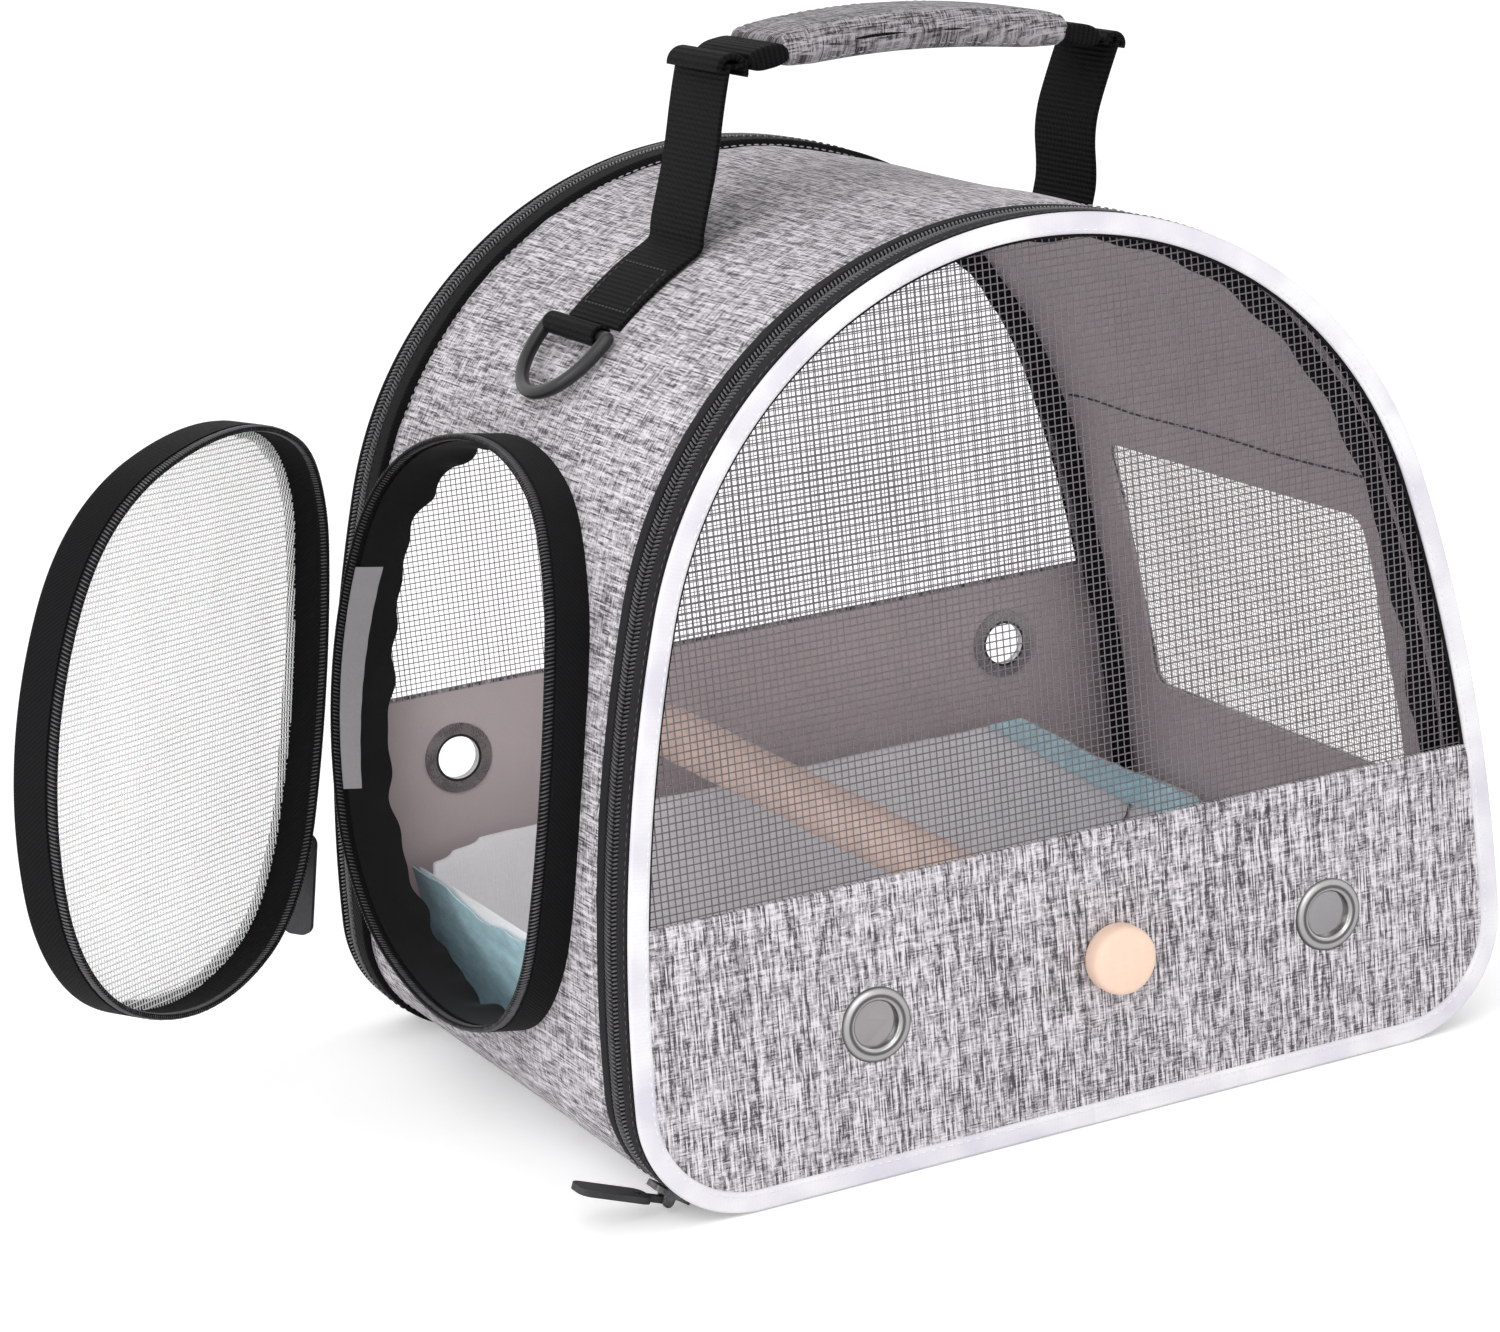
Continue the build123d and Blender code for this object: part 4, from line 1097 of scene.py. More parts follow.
class CarrierZips(bpy.types.Operator):
    """Make the tapes and coils of the two big zips"""
    bl_idname = "carrier.zips"
    bl_label = "Zips"

    def execute(self, context):
        def soft(seed, deep):
            return lambda at: deep * float(1 + ripple(np.array(at), np.array(0.0), seed, 7, 0.05))

        tapes = [("front_body_tape", "shell", 0.0, LINING_Y[0], SHELL_Y[0], "tape", 0.00012),
                 ("front_panel_tape", "front_panel", 0.0, -0.1178, -0.1100, "tape", 0.00012),
                 ("back_body_tape", "shell", BACK_OUT, SHELL_Y[1], LINING_Y[1], "rim_cloth",
                  0.0002),
                 ("back_panel_tape", "back_panel", BACK_OUT, 0.1160, 0.1178, "rim_cloth",
                  0.0001)]
        for name, body, out, y0, y1, material, deep in tapes:
            floor = 0.0001 if out < 0 else None
            tape = ring_piece(name + "_cloth", out, 0.0016, y0, y1, 520, 0.0006,
                              soft(len(name), deep), floor)
            settle(paint(tape, material), body, "black_tape", name)
        lean = 0.34
        coils = [("front_body_coil", "shell", -0.1052, LINING_Y[0], 0.0, lean),
                 ("front_panel_coil", "front_panel", -0.1100, -0.1055, 0.0, -lean),
                 ("back_body_coil", "shell", LINING_Y[1], 0.1112, BACK_OUT, lean),
                 ("back_panel_coil", "back_panel", 0.1115, 0.1160, BACK_OUT, -lean)]
        for name, body, y0, y1, out, slant in coils:
            floor = 0.0001 if out < 0 else None
            base = ring_piece(name + "_base", out + 0.0011, 0.0022, y0, y1, 420, 0.0004,
                              None, floor)
            settle(paint(base, "coil_base"), body, "black_coil", name)
            coil_row(name + "_teeth", y0, y1, out + 0.0009, slant, body,
                     0.0010 if floor else None)
        for k, (y, inset, body) in enumerate(((-0.1163, STITCH_OUT, "front_panel"),
                                              (0.1053, BACK_OUT, "shell"))):
            row = seam_row("tape_stitches_%d" % k, y, inset, mat("thread_dark"))
            settle(row, body, "black_tape")
        return {"FINISHED"}


# ---- pieces: end panels ----------------------------------------------------------------
def panel_net(name, y, low, pitch, radius, material):
    """Square net across an end panel, cut to the outline, its upright and level threads in two
    layers one thread radius apart.
    """
    inset = 0.0016
    lines = []
    widest = float(half_width(CORNER, inset))
    for x in np.arange(-math.floor(widest / pitch) * pitch, widest, pitch):
        top = float(top_at(x, inset))
        if top - low > 0.004:
            z = np.linspace(low, top, 12)
            lines.append(xyz(x, y - radius * 0.5, z))
    top = ROOF_Z + ROOF_R - inset
    for z in np.arange(low + pitch / 2, top - 0.001, pitch):
        wide = float(half_width(z, inset))
        x = np.linspace(-wide, wide, 12)
        lines.append(xyz(x, y + radius * 0.5, z))
    return threads(name, lines, radius, mat(material), 0.0007, 22.0)


def panel_cloth(name, inset, high, y_face, y_inner, seed, bulge=0.0, hem=0.0):
    """Flat cloth low on an end panel, softly uneven, with a rolled top hem."""
    z = np.linspace(inset, high, 60)
    fold = hem * np.clip(1 - np.abs(z - (high - 0.004)) / 0.005, 0, 1)
    outer, inner, lengths = [], [], []
    sign = 1 if y_inner > y_face else -1
    for a in np.linspace(-1, 1, 150):
        x = a * half_width(z, inset)
        puff_by = bulge * (1 - a ** 4) * np.sin((z - z[0]) / (z[-1] - z[0]) * PI)
        soft = 0.00012 * ripple(x, z, seed, 7, 0.03)
        outer.append(xyz(x, y_face - sign * (puff_by + fold) + soft, z))
        inner.append(xyz(x, y_inner - sign * puff_by + soft, z))
        lengths.append(np.stack([x, z], 1))
    return solid(name, np.array(outer), np.array(inner), np.array(lengths))


def round_cutter(x, z, r, y):
    """A plug for a round hole through an end panel."""
    return lathe("hole", [(-0.02, r), (0.02, r)], (x, y, z), (0, 1, 0), 40)


EYELET_BORE = 0.0082
PERCH_X, PERCH_Z = 0.0105, 0.052


def eyelet_pair(name, places, face, into):
    """Two rolled metal eyelets."""
    made = []
    for x, z in places:
        profile = [(0.0037, 0.0073), (0.0006, 0.0073), (0.0, 0.0079), (-0.0002, 0.0088),
                   (0.0, 0.0101), (0.0004, 0.0113), (0.0009, 0.0119), (0.0010, 0.0117),
                   (0.0010, EYELET_BORE), (0.0037, EYELET_BORE)]
        made.append(lathe(name, profile, (x, face, z), (0, into, 0), 56, wrap=True))
    return join(name, made)


class CarrierPanels(bpy.types.Operator):
    """Make the bindings, nets, bands, linings and eyelets of both end panels"""
    bl_idname = "carrier.panels"
    bl_label = "End panels"

    def execute(self, context):
        front_holes = [(-0.0707, 0.0483), (0.0873, 0.0483)]
        back_holes = [(-0.105, 0.086), (0.105, 0.086)]
        for end, face, into, band_z, holes in (("front", FRONT, 1, 0.0925, front_holes),
                                               ("back", BACK, -1, 0.110, back_holes)):
            body = end + "_panel"

            def ring(name, inset0, inset1, near, far, count, r):
                depths = sorted((face + into * near, face + into * far))
                return ring_piece(end + name, inset0, inset1, *depths, count, r)

            binding = ring("_edge_binding", 0.0, 0.0065, 0.0, 0.0022, 620, 0.00105)
            settle(paint(binding, "white_binding"), body, "white_binding", end + "_binding")
            row = seam_row(end + "_binding_stitches", face - into * 0.00002, 0.0052,
                           mat("thread_white"), pitch=0.0030, size=(0.0021, 0.0006, 0.0005))
            settle(row, body, "white_binding")
            lip = ring("_binding_lip", 0.0064, 0.0074, 0.0014, 0.0021, 420, 0.0003)
            settle(paint(lip, "rim_cloth"), body, "black_tape")
            edge = ring("_binding_edge", -0.0001, 0.0009, 0.0019, 0.0024, 420, 0.0002)
            settle(paint(edge, "coil_base"), body, "black_tape")
            pitch, radius, material = sizes().net_pitch, sizes().net_thread, "net"
            if end == "back":
                pitch, radius = sizes().back_net_pitch, sizes().back_net_thread
                material = "net_back"
            net = panel_net(end + "_net", face + into * 0.0026, band_z - 0.0006, pitch, radius,
                            material)
            settle(net, body, "black_mesh", end + "_mesh")
            band = panel_cloth(end + "_band_cloth", 0.0062, band_z, face + into * 0.0010,
                               face + into * 0.0022, 51, 0.0003, 0.0004)
            inner = panel_cloth(end + "_band_lining_cloth", 0.0016, band_z - 0.0010,
                                face + into * 0.0023, face + into * 0.0031, 57)
            cuts = [(x, z, EYELET_BORE) for x, z in holes]
            if end == "front":
                cuts.append((PERCH_X, PERCH_Z, 0.0021))
            for piece in (band, inner):
                cut(piece, [round_cutter(x, z, r, face) for x, z, r in cuts])
            settle(paint(band, "linen_band"), body, "grey_linen", end + "_band")
            settle(paint(inner, "band_lining"), body, "lining_cloth", end + "_band_lining")
            wide = half_width(band_z - 0.008, 0.008)
            path = xyz(np.linspace(-wide, wide, 80), face + into * 0.0008, band_z - 0.0085)
            hem = stitches(end + "_hem_stitches", path, (0, 0, 1), mat("thread_grey"))
            settle(hem, body, "grey_linen")
            rings = eyelet_pair(end + "_eyelet_rings", holes, face + into * 0.0001, into)
            settle(paint(rings, "eyelet"), body, "nickel", end + "_eyelets")
            dress(end + "_eyelet_washers", "nickel")
            dress(end + "_frame_wire", "steel")
        return {"FINISHED"}


class CarrierPerch(bpy.types.Operator):
    """Make the wooden perch and its cap"""
    bl_idname = "carrier.perch"
    bl_label = "Perch"

    def execute(self, context):
        cap = [(0.0, 0.0), (0.0, 0.004), (0.0, 0.0098), (0.0005, 0.0104), (0.0015, 0.0108),
               (0.0055, 0.0108), (0.0068, 0.0105), (0.0076, 0.0098), (0.0080, 0.0086),
               (0.0081, 0.004), (0.0081, 0.00005)]
        made = lathe("perch_cap_wood", cap, (PERCH_X, -0.1201, PERCH_Z), (0, -1, 0), 56)
        settle(paint(made, "cap_wood"), "perch_cap", "wood", "perch_cap")
        yaw, rise = math.radians(12.5), math.radians(9.0)
        run = Vector((-math.sin(yaw) * math.cos(rise), math.cos(yaw) * math.cos(rise),
                      math.sin(rise)))
        start = Vector((PERCH_X, -0.1160, PERCH_Z))
        rows = []
        rng = np.random.default_rng(8)
        bends = rng.uniform(-1, 1, 4)
        side = run.orthogonal().normalized()
        other = run.cross(side)
        a = np.linspace(0, 2 * PI, 40, endpoint=False)
        length = 0.2190
        stops = list(np.linspace(0.0016, length, 44)) + [0.2208, 0.2218, 0.2220]
        for d in stops:
            end = max(0.0, d - length) / 0.003
            r = (0.0088 + 0.00012 * math.sin(d * 70 + bends[0])) * math.sqrt(1 - 0.25 * end ** 2)
            r = r - 0.0035 if d == stops[-1] else r
            wobble = 1 + 0.012 * np.sin(2 * a + bends[1] + d * 9) + 0.008 * np.sin(5 * a + d * 21)
            spin = np.cos(a)[:, None] * np.array(side) + np.sin(a)[:, None] * np.array(other)
            rows.append(np.array(start + run * d) + spin * (r * wobble)[:, None])
        dowel = loft("perch_wood", rows, wrap=False, smooth=50)
        settle(paint(dowel, "wood"), "front_panel", "wood", "perch_dowel")
        dress("perch_screw", "zinc")
        dress("perch_washers", "zinc")
        return {"FINISHED"}


# ---- pieces: floor pad -----------------------------------------------------------------
PAD_Y = (-0.0845, 0.0976)
PAD_BACK = 0.0962
PAD_REAR = 0.0981
FILM_Y = 0.0936
LEFT_FOOT = (-0.1222, 0.0110)
LEFT_TOP = (-0.1297, 0.0588)


def pad_section():
    """Middle line of the pad from its left edge over the floor to its right edge."""
    s = np.linspace(STARTS[1], STARTS[3], 500)
    x, z, _, _ = arch(s, 0.0047)
    keep = (z > 0.0077) & (z < 0.0350)
    left = [LEFT_TOP, LEFT_FOOT, (-0.1217, 0.0090), (-0.1205, 0.0078), (-0.1188, 0.0073),
            (0.1215, 0.0073)]
    points = np.concatenate([np.array(left), np.stack([x, z], 1)[keep]])
    at = run_of(points)
    return sample(points, at, np.linspace(0, at[-1], 170))


def pad_cloth(thick):
    """The floor with its left and right flaps, thinner at the edges, softly uneven."""
    line = pad_section()
    run = unit(np.gradient(line, axis=0))
    out = np.stack([-run[:, 1], run[:, 0]], 1)
    at = np.linspace(0, 1, len(line))
    rows = []
    for y in np.linspace(*PAD_Y, 48):
        thin = 0.35 + 0.65 * min(1.0, (y - PAD_Y[0]) / 0.006) ** 0.5
        side = np.clip(np.minimum(at, 1 - at) / 0.018, 0, 1) ** 0.5
        half = thick / 2 * thin * (0.25 + 0.75 * side)
        sway = 0.0005 * ripple(at * 0.4, at * 0 + y, 59, 6, 0.07) * np.clip(line[:, 1] / 0.03, 0, 1)
        mid = line + out * sway[:, None]
        upper, lower = mid + out * half[:, None], mid - out * half[:, None]
        loop = np.concatenate([upper, lower[::-1]])
        rows.append(xyz(loop[:, 0], y, loop[:, 1]))
    pad = loft("pad_cloth", rows, wrap=False)
    puff(pad, 0.0025, 2.0, 0.0006)
    return pad


def quilt(pad):
    """Presses crossing lines into the top of the floor and keeps it off the board."""
    co = points_of(pad.data)
    flat = np.abs(co[:, 0]) < 0.119
    top = np.where(flat, np.clip((co[:, 2] - 0.0072) / 0.0012, 0, 1), 0)
    square = 0.034
    a = (co[:, 0] + co[:, 1]) / square
    b = (co[:, 0] - co[:, 1]) / square
    line = np.minimum(np.abs(a - np.round(a)), np.abs(b - np.round(b))) * square
    co[:, 2] -= top * 0.0008 * np.exp(-(line / 0.0014) ** 2)
    co[:, 2] = np.maximum(co[:, 2], 0.00545)
    pad.data.vertices.foreach_set("co", co.ravel())
    pad.data.update()


def back_flap(thick):
    """The pad's back flap standing against the back band."""
    xs = np.linspace(-0.1264, 0.1430, 150)
    s = np.linspace(STARTS[1], STARTS[2], 300)
    wall_x, wall_z, _, _ = arch(s, 0.0070)
    foot = np.maximum(np.interp(xs, wall_x, wall_z), 0.0066)
    start = LEFT_FOOT[0] - 0.0004
    lean = (start - xs) / (LEFT_FOOT[0] - LEFT_TOP[0]) * (LEFT_TOP[1] - LEFT_FOOT[1])
    foot = np.maximum(foot, np.where(xs < start, LEFT_FOOT[1] + lean, 0))
    top = np.interp(xs, [-0.1290, -0.100, 0.0970, 0.1425], [0.0575, 0.0655, 0.0655, 0.0355])
    top = np.maximum(top + 0.0004 * ripple(xs, xs * 0, 83, 5, 0.06), foot + 0.0006)
    front, rear, lengths = [], [], []
    for t in np.linspace(0, 1, 40):
        z = foot + (top - foot) * t
        fold = 0.0005 * ripple(xs, z, 87, 7, 0.05)
        half = thick / 2 * (0.3 + 0.7 * np.clip((1 - t) / 0.06, 0, 1) ** 0.5)
        front.append(xyz(xs, PAD_BACK + fold - half, z))
        rear.append(xyz(xs, np.minimum(PAD_BACK + fold + half, PAD_REAR), z))
        lengths.append(np.stack([xs, z], 1))
    pad = solid("pad_back_flap", np.array(front), np.array(rear), np.array(lengths))
    puff(pad, 0.0025, 2.0, 0.0005)
    return pad


def film(name, under, surface, along, across, flat):
    """Creased blue film lying on the pad; surface gives points for two lengths from 0 to 1."""
    inner, outer, lengths = [], [], []
    y = np.linspace(0, 1, 130)
    for t in np.linspace(0, 1, 16):
        crease = 0.5 + 0.5 * ripple(y * along, y * 0 + t * across, 61 + len(name), 10, 0.016)
        edge = 1 + 0.10 * ripple(y, y * 0, 67, 6, 0.2) * t
        p, n = surface(y, np.full(y.shape, np.clip(t * edge, 0, 1)))
        low = p + n * (0.0005 * np.clip(crease, 0, 1.4))[:, None]
        inner.append(low)
        outer.append(low + n * 0.0004)
        lengths.append(np.stack([np.full(y.shape, t * across), y * along], 1))
    made = solid(name, np.array(outer), np.array(inner), np.array(lengths))
    settle(paint(made, "pad_blue"), "shell", "pad_blue", "pad_border")
    return made


class CarrierPad(bpy.types.Operator):
    """Make the absorbent floor pad, its turned-up flaps and their creased blue film"""
    bl_idname = "carrier.pad"
    bl_label = "Floor pad"

    def execute(self, context):
        thick = sizes().pad_thickness
        pad = pad_cloth(thick)
        quilt(pad)
        for piece in (pad, back_flap(thick)):
            settle(paint(piece, "pad_white"), "shell", "pad_white", "floor_pad")
        s0, s1 = s_at(0.0222), s_at(0.0352)

        def right(y, t):
            at = s0 + (s1 - s0) * t
            x, z, nx, nz = arch(at, 0.0072)
            deep = PAD_Y[0] + (FILM_Y - PAD_Y[0]) * y
            return xyz(x, deep, z), xyz(-nx, 0.0, -nz)

        def left(y, t):
            foot, top = np.array(LEFT_FOOT), np.array(LEFT_TOP)
            p = foot + (top - foot) * np.clip(t, 0, 0.985)[:, None]
            deep = PAD_Y[0] + (PAD_Y[1] - PAD_Y[0]) * y
            away = np.array((-0.985, 0, -0.155))
            return xyz(p[:, 0] - 0.0024, deep, p[:, 1]), away

        def corner(y, t):
            x = 0.0972 + (0.1420 - 0.0972) * y - 0.0138 * (1 - t) * (1 - y)
            z = 0.0650 + (0.0350 - 0.0650) * y - 0.0128 * (1 - t) * y
            return xyz(x, FILM_Y, z), np.array((0.0, -1.0, 0.0))

        film("pad_edge_right", "pad_cloth", right, 0.178, 0.0135, (0.0135, 0.178))
        film("pad_edge_left", "pad_cloth", left, 0.178, 0.0484, (0.0484, 0.178))
        film("pad_edge_back", "pad_back_flap", corner, 0.0512, 0.0138, (0.0118, 0.0512))
        return {"FINISHED"}


# ---- pieces: doorway and door ----------------------------------------------------------
COIL_INSET = 0.0012


def oval_coil(name, height0, height1, body, slant, opened=False):
    """One half of the door's zip: slanted teeth round the oval between two heights."""
    base, n, _ = oval(1400)
    p = base - n * COIL_INSET
    mid = (height0 + height1) / 2
    path = on_wall(p[:, 0], p[:, 1], mid, opened)
    above = on_wall(p[:, 0], p[:, 1], mid + 0.001, opened)
    pts, run = along_path(path, sizes().door_coil_pitch, closed=True)
    near = [int(np.argmin(((path - q) ** 2).sum(1))) for q in pts]
    teeth = beads(name, pts, run, unit((above - path)[near]),
                  (0.00085, height1 - height0 + 0.0003, 0.0022), mat("coil"), slant, 0.05)
    return settle(teeth, body, "black_coil")


def oval_side(v, side, inset):
    """The doorway's u at each v on its front (1) or rear (-1) side."""
    base, n, _ = oval(2400)
    p = base - n * inset
    p = p[p[:, 0] * side > 0]
    p = p[np.argsort(p[:, 1])]
    return np.interp(v, p[:, 1], p[:, 0], left=0, right=0)


class CarrierDoorway(bpy.types.Operator):
    """Make the doorway's zip collar, its gathered facing and the fold's grey tape"""
    bl_idname = "carrier.doorway"
    bl_label = "Doorway"

    def execute(self, context):
        collar = door_band("collar_cloth", 0.0001, 0.0014, -0.0022, 0.0095, 0.0005, 420)
        settle(paint(collar, "rim_cloth"), "shell", "black_tape", "door_collar")
        tape = door_band("collar_coil_tape", 0.0006, 0.0020, 0.0093, 0.0128, 0.0004, 300)
        settle(paint(tape, "coil_base"), "shell", "black_coil", "door_collar_coil")
        oval_coil("collar_coil_teeth", 0.0095, 0.0130, "shell", 0.30)
        self.facing()
        self.hinge_tape()
        return {"FINISHED"}

    def facing(self):
        """The gathered cloth that lines the collar, wavy along its free edge."""
        base, n, at = oval(560)
        wide = ripple(at, at * 0, 71, 8, 0.020, 0)
        sway = ripple(at, at * 0, 73, 8, 0.026, 0)
        rows = []
        for k in range(560):
            t = np.linspace(0, 1, 12)
            edge = -0.0065 - 0.0019 * wide[k]
            hh = 0.0083 + (edge - 0.0083) * t
            drift = np.clip((t - 0.45) / 0.55, 0, 1)
            ins = 0.0017 + drift ** 1.5 * (0.0014 + 0.0013 * sway[k])
            ii = np.concatenate([ins, (ins + 0.0006)[::-1]])
            hh = np.concatenate([hh, hh[::-1]])
            p = base[k] - n[k] * ii[:, None]
            rows.append(on_wall(p[:, 0], p[:, 1], hh))
        facing = loft("facing_cloth", np.array(rows))
        settle(paint(facing, "gathered"), "shell", "black_binding", "door_facing")

    def hinge_tape(self):
        """The grey tape at the door's fold."""
        v = np.linspace(-0.036, 0.0375, 60)
        hh = np.linspace(0.0006, 0.0100, 9)
        edge = oval_side(v, -1, 0.0)
        outer, inner, lengths = [], [], []
        for k, vv in enumerate(v):
            slim = 0.66 + 0.34 * (k / 59.0)
            height = 0.0100 - (0.0100 - hh) * slim
            swell = 0.00015 * math.sin(k * 0.9)
            u_out = edge[k] + 0.0022
            outer.append(on_wall(u_out, vv, height))
            inner.append(on_wall(u_out + 0.0005 + swell, vv, height))
            lengths.append(np.stack([np.full(9, vv), height], 1))
        tape = solid("hinge_tape_cloth", np.array(inner), np.array(outer), np.array(lengths))
        settle(paint(tape, "hinge_grey"), "shell", "hinge_grey", "door_hinge_tape")


class CarrierDoor(bpy.types.Operator):
    """Make the door: its rim, its coil and its curved net"""
    bl_idname = "carrier.door"
    bl_label = "Door"

    def execute(self, context):
        low = 0.0168
        shape = [(0.0001, low), (0.0001, 0.0262), (0.0003, 0.0272), (0.0009, 0.0277),
                 (0.0036, 0.0277), (0.0041, 0.0273), (0.0041, 0.0266), (0.0036, 0.0263),
                 (0.0019, 0.0262), (0.0015, 0.0258), (0.0014, 0.0250), (0.0014, low)]
        i, h = np.array(shape).T
        base, n, at = oval(440)
        wavy = ripple(at, at * 0, 81, 7, 0.028, 0)
        rows = []
        for k in range(440):
            ins = i + np.where(i > 0.003, 0.0005 * wavy[k], 0)
            p = base[k] - n[k] * ins[:, None]
            rows.append(on_wall(p[:, 0], p[:, 1], h, True))
        rim = loft("door_rim_cloth", np.array(rows))
        settle(paint(rim, "rim_cloth"), "door", "black_tape", "door_rim")
        tape = door_band("door_coil_tape", 0.0006, 0.0020, 0.0135, 0.0169, 0.0004, 300, True)
        settle(paint(tape, "coil_base"), "door", "black_coil", "door_coil")
        oval_coil("door_coil_teeth", 0.0133, 0.0168, "door", -0.30, True)
        pitch = sizes().door_net_pitch
        lines = []
        for v in np.arange(-0.091, 0.0912, pitch):
            wide = float(oval_side(v, 1, COIL_INSET))
            if wide > 0.003:
                lines.append(self.net_line(np.linspace(-wide, wide, 16), np.full(16, v)))
        upper = oval(2400, COIL_INSET)[0]
        upper = upper[upper[:, 1] > 0]
        upper = upper[np.argsort(upper[:, 0])]
        reach = float(oval_side(0.0, 1, COIL_INSET))
        for u in np.arange(-math.floor(reach / pitch) * pitch, reach, pitch):
            tall = float(np.interp(u, upper[:, 0], upper[:, 1]))
            if tall > 0.003:
                lines.append(self.net_line(np.full(26, u), np.linspace(-tall, tall, 26)))
        net = threads("door_net", lines, sizes().door_net_thread, mat("net_door"), 0.0004, 60.0)
        settle(net, "door", "pale_mesh", "door_mesh")
        return {"FINISHED"}

    def net_line(self, u, v):
        """One thread of the door's net, slightly slack."""
        slack = 0.0004 * ripple(u, v, 91, 7, 0.05)
        return on_wall(u, v, 0.0259 + slack - 0.0002, True)


# ---- pieces: handle --------------------------------------------------------------------
FEET = {"left": Vector((-0.060, 0, 0.26894)), "right": Vector((0.076, 0, 0.25982))}
TOPS = {"left": Vector((-0.04512, 0, 0.32085)), "right": Vector((0.09088, 0, 0.31173))}
WEB_WIDE, WEB_THICK, LOOP_WIDE = 0.0378, 0.0015, 0.0376
BARS = {"left": Vector((-0.0952, 0, 0.2464)), "right": Vector((0.1117, 0, 0.2279))}


def bezier(points, count):
    """Smooth path through control points, evenly spaced."""
    data = bpy.data.curves.new("path", "CURVE")
    data.dimensions = "3D"
    spline = data.splines.new("NURBS")
    spline.points.add(len(points) - 1)
    for p, q in zip(spline.points, points):
        p.co = (*q, 1.0)
    spline.order_u = 3
    spline.use_endpoint_u = True
    data.resolution_u = 24
    holder = bpy.data.objects.new("path", data)
    bpy.context.scene.collection.objects.link(holder)
    graph = bpy.context.evaluated_depsgraph_get()
    mesh = bpy.data.meshes.new_from_object(holder.evaluated_get(graph))
    co = np.array([tuple(v.co) for v in mesh.vertices])
    bpy.data.objects.remove(holder)
    at = run_of(co)
    return sample(co, at, np.linspace(0, at[-1], count))


def roof_point(x, up):
    """The point at a height over the roof above x."""
    r = ROOF_R + up
    return (x, 0.0, ROOF_Z + math.sqrt(r * r - x * x))


def grip_arc(count, lift=0.0, start=0.0, end=1.0):
    """Points on the grip's arc from the left top fold to the right one."""
    a, b = TOPS["left"], TOPS["right"]
    mid = (a + b) / 2
    span = b - a
    up = Vector((0, 1, 0)).cross(span).normalized() * -1
    half, rise = span.length / 2, 0.008
    radius = (half ** 2 + rise ** 2) / (2 * rise)
    centre = mid + up * (rise - radius)
    turn = math.asin(half / radius)
    out = []
    for t in np.linspace(start, end, count):
        angle = -turn + 2 * turn * t
        d = span.normalized() * math.sin(angle) + up * math.cos(angle)
        out.append(centre + d * (radius + lift))
    return np.array(out)


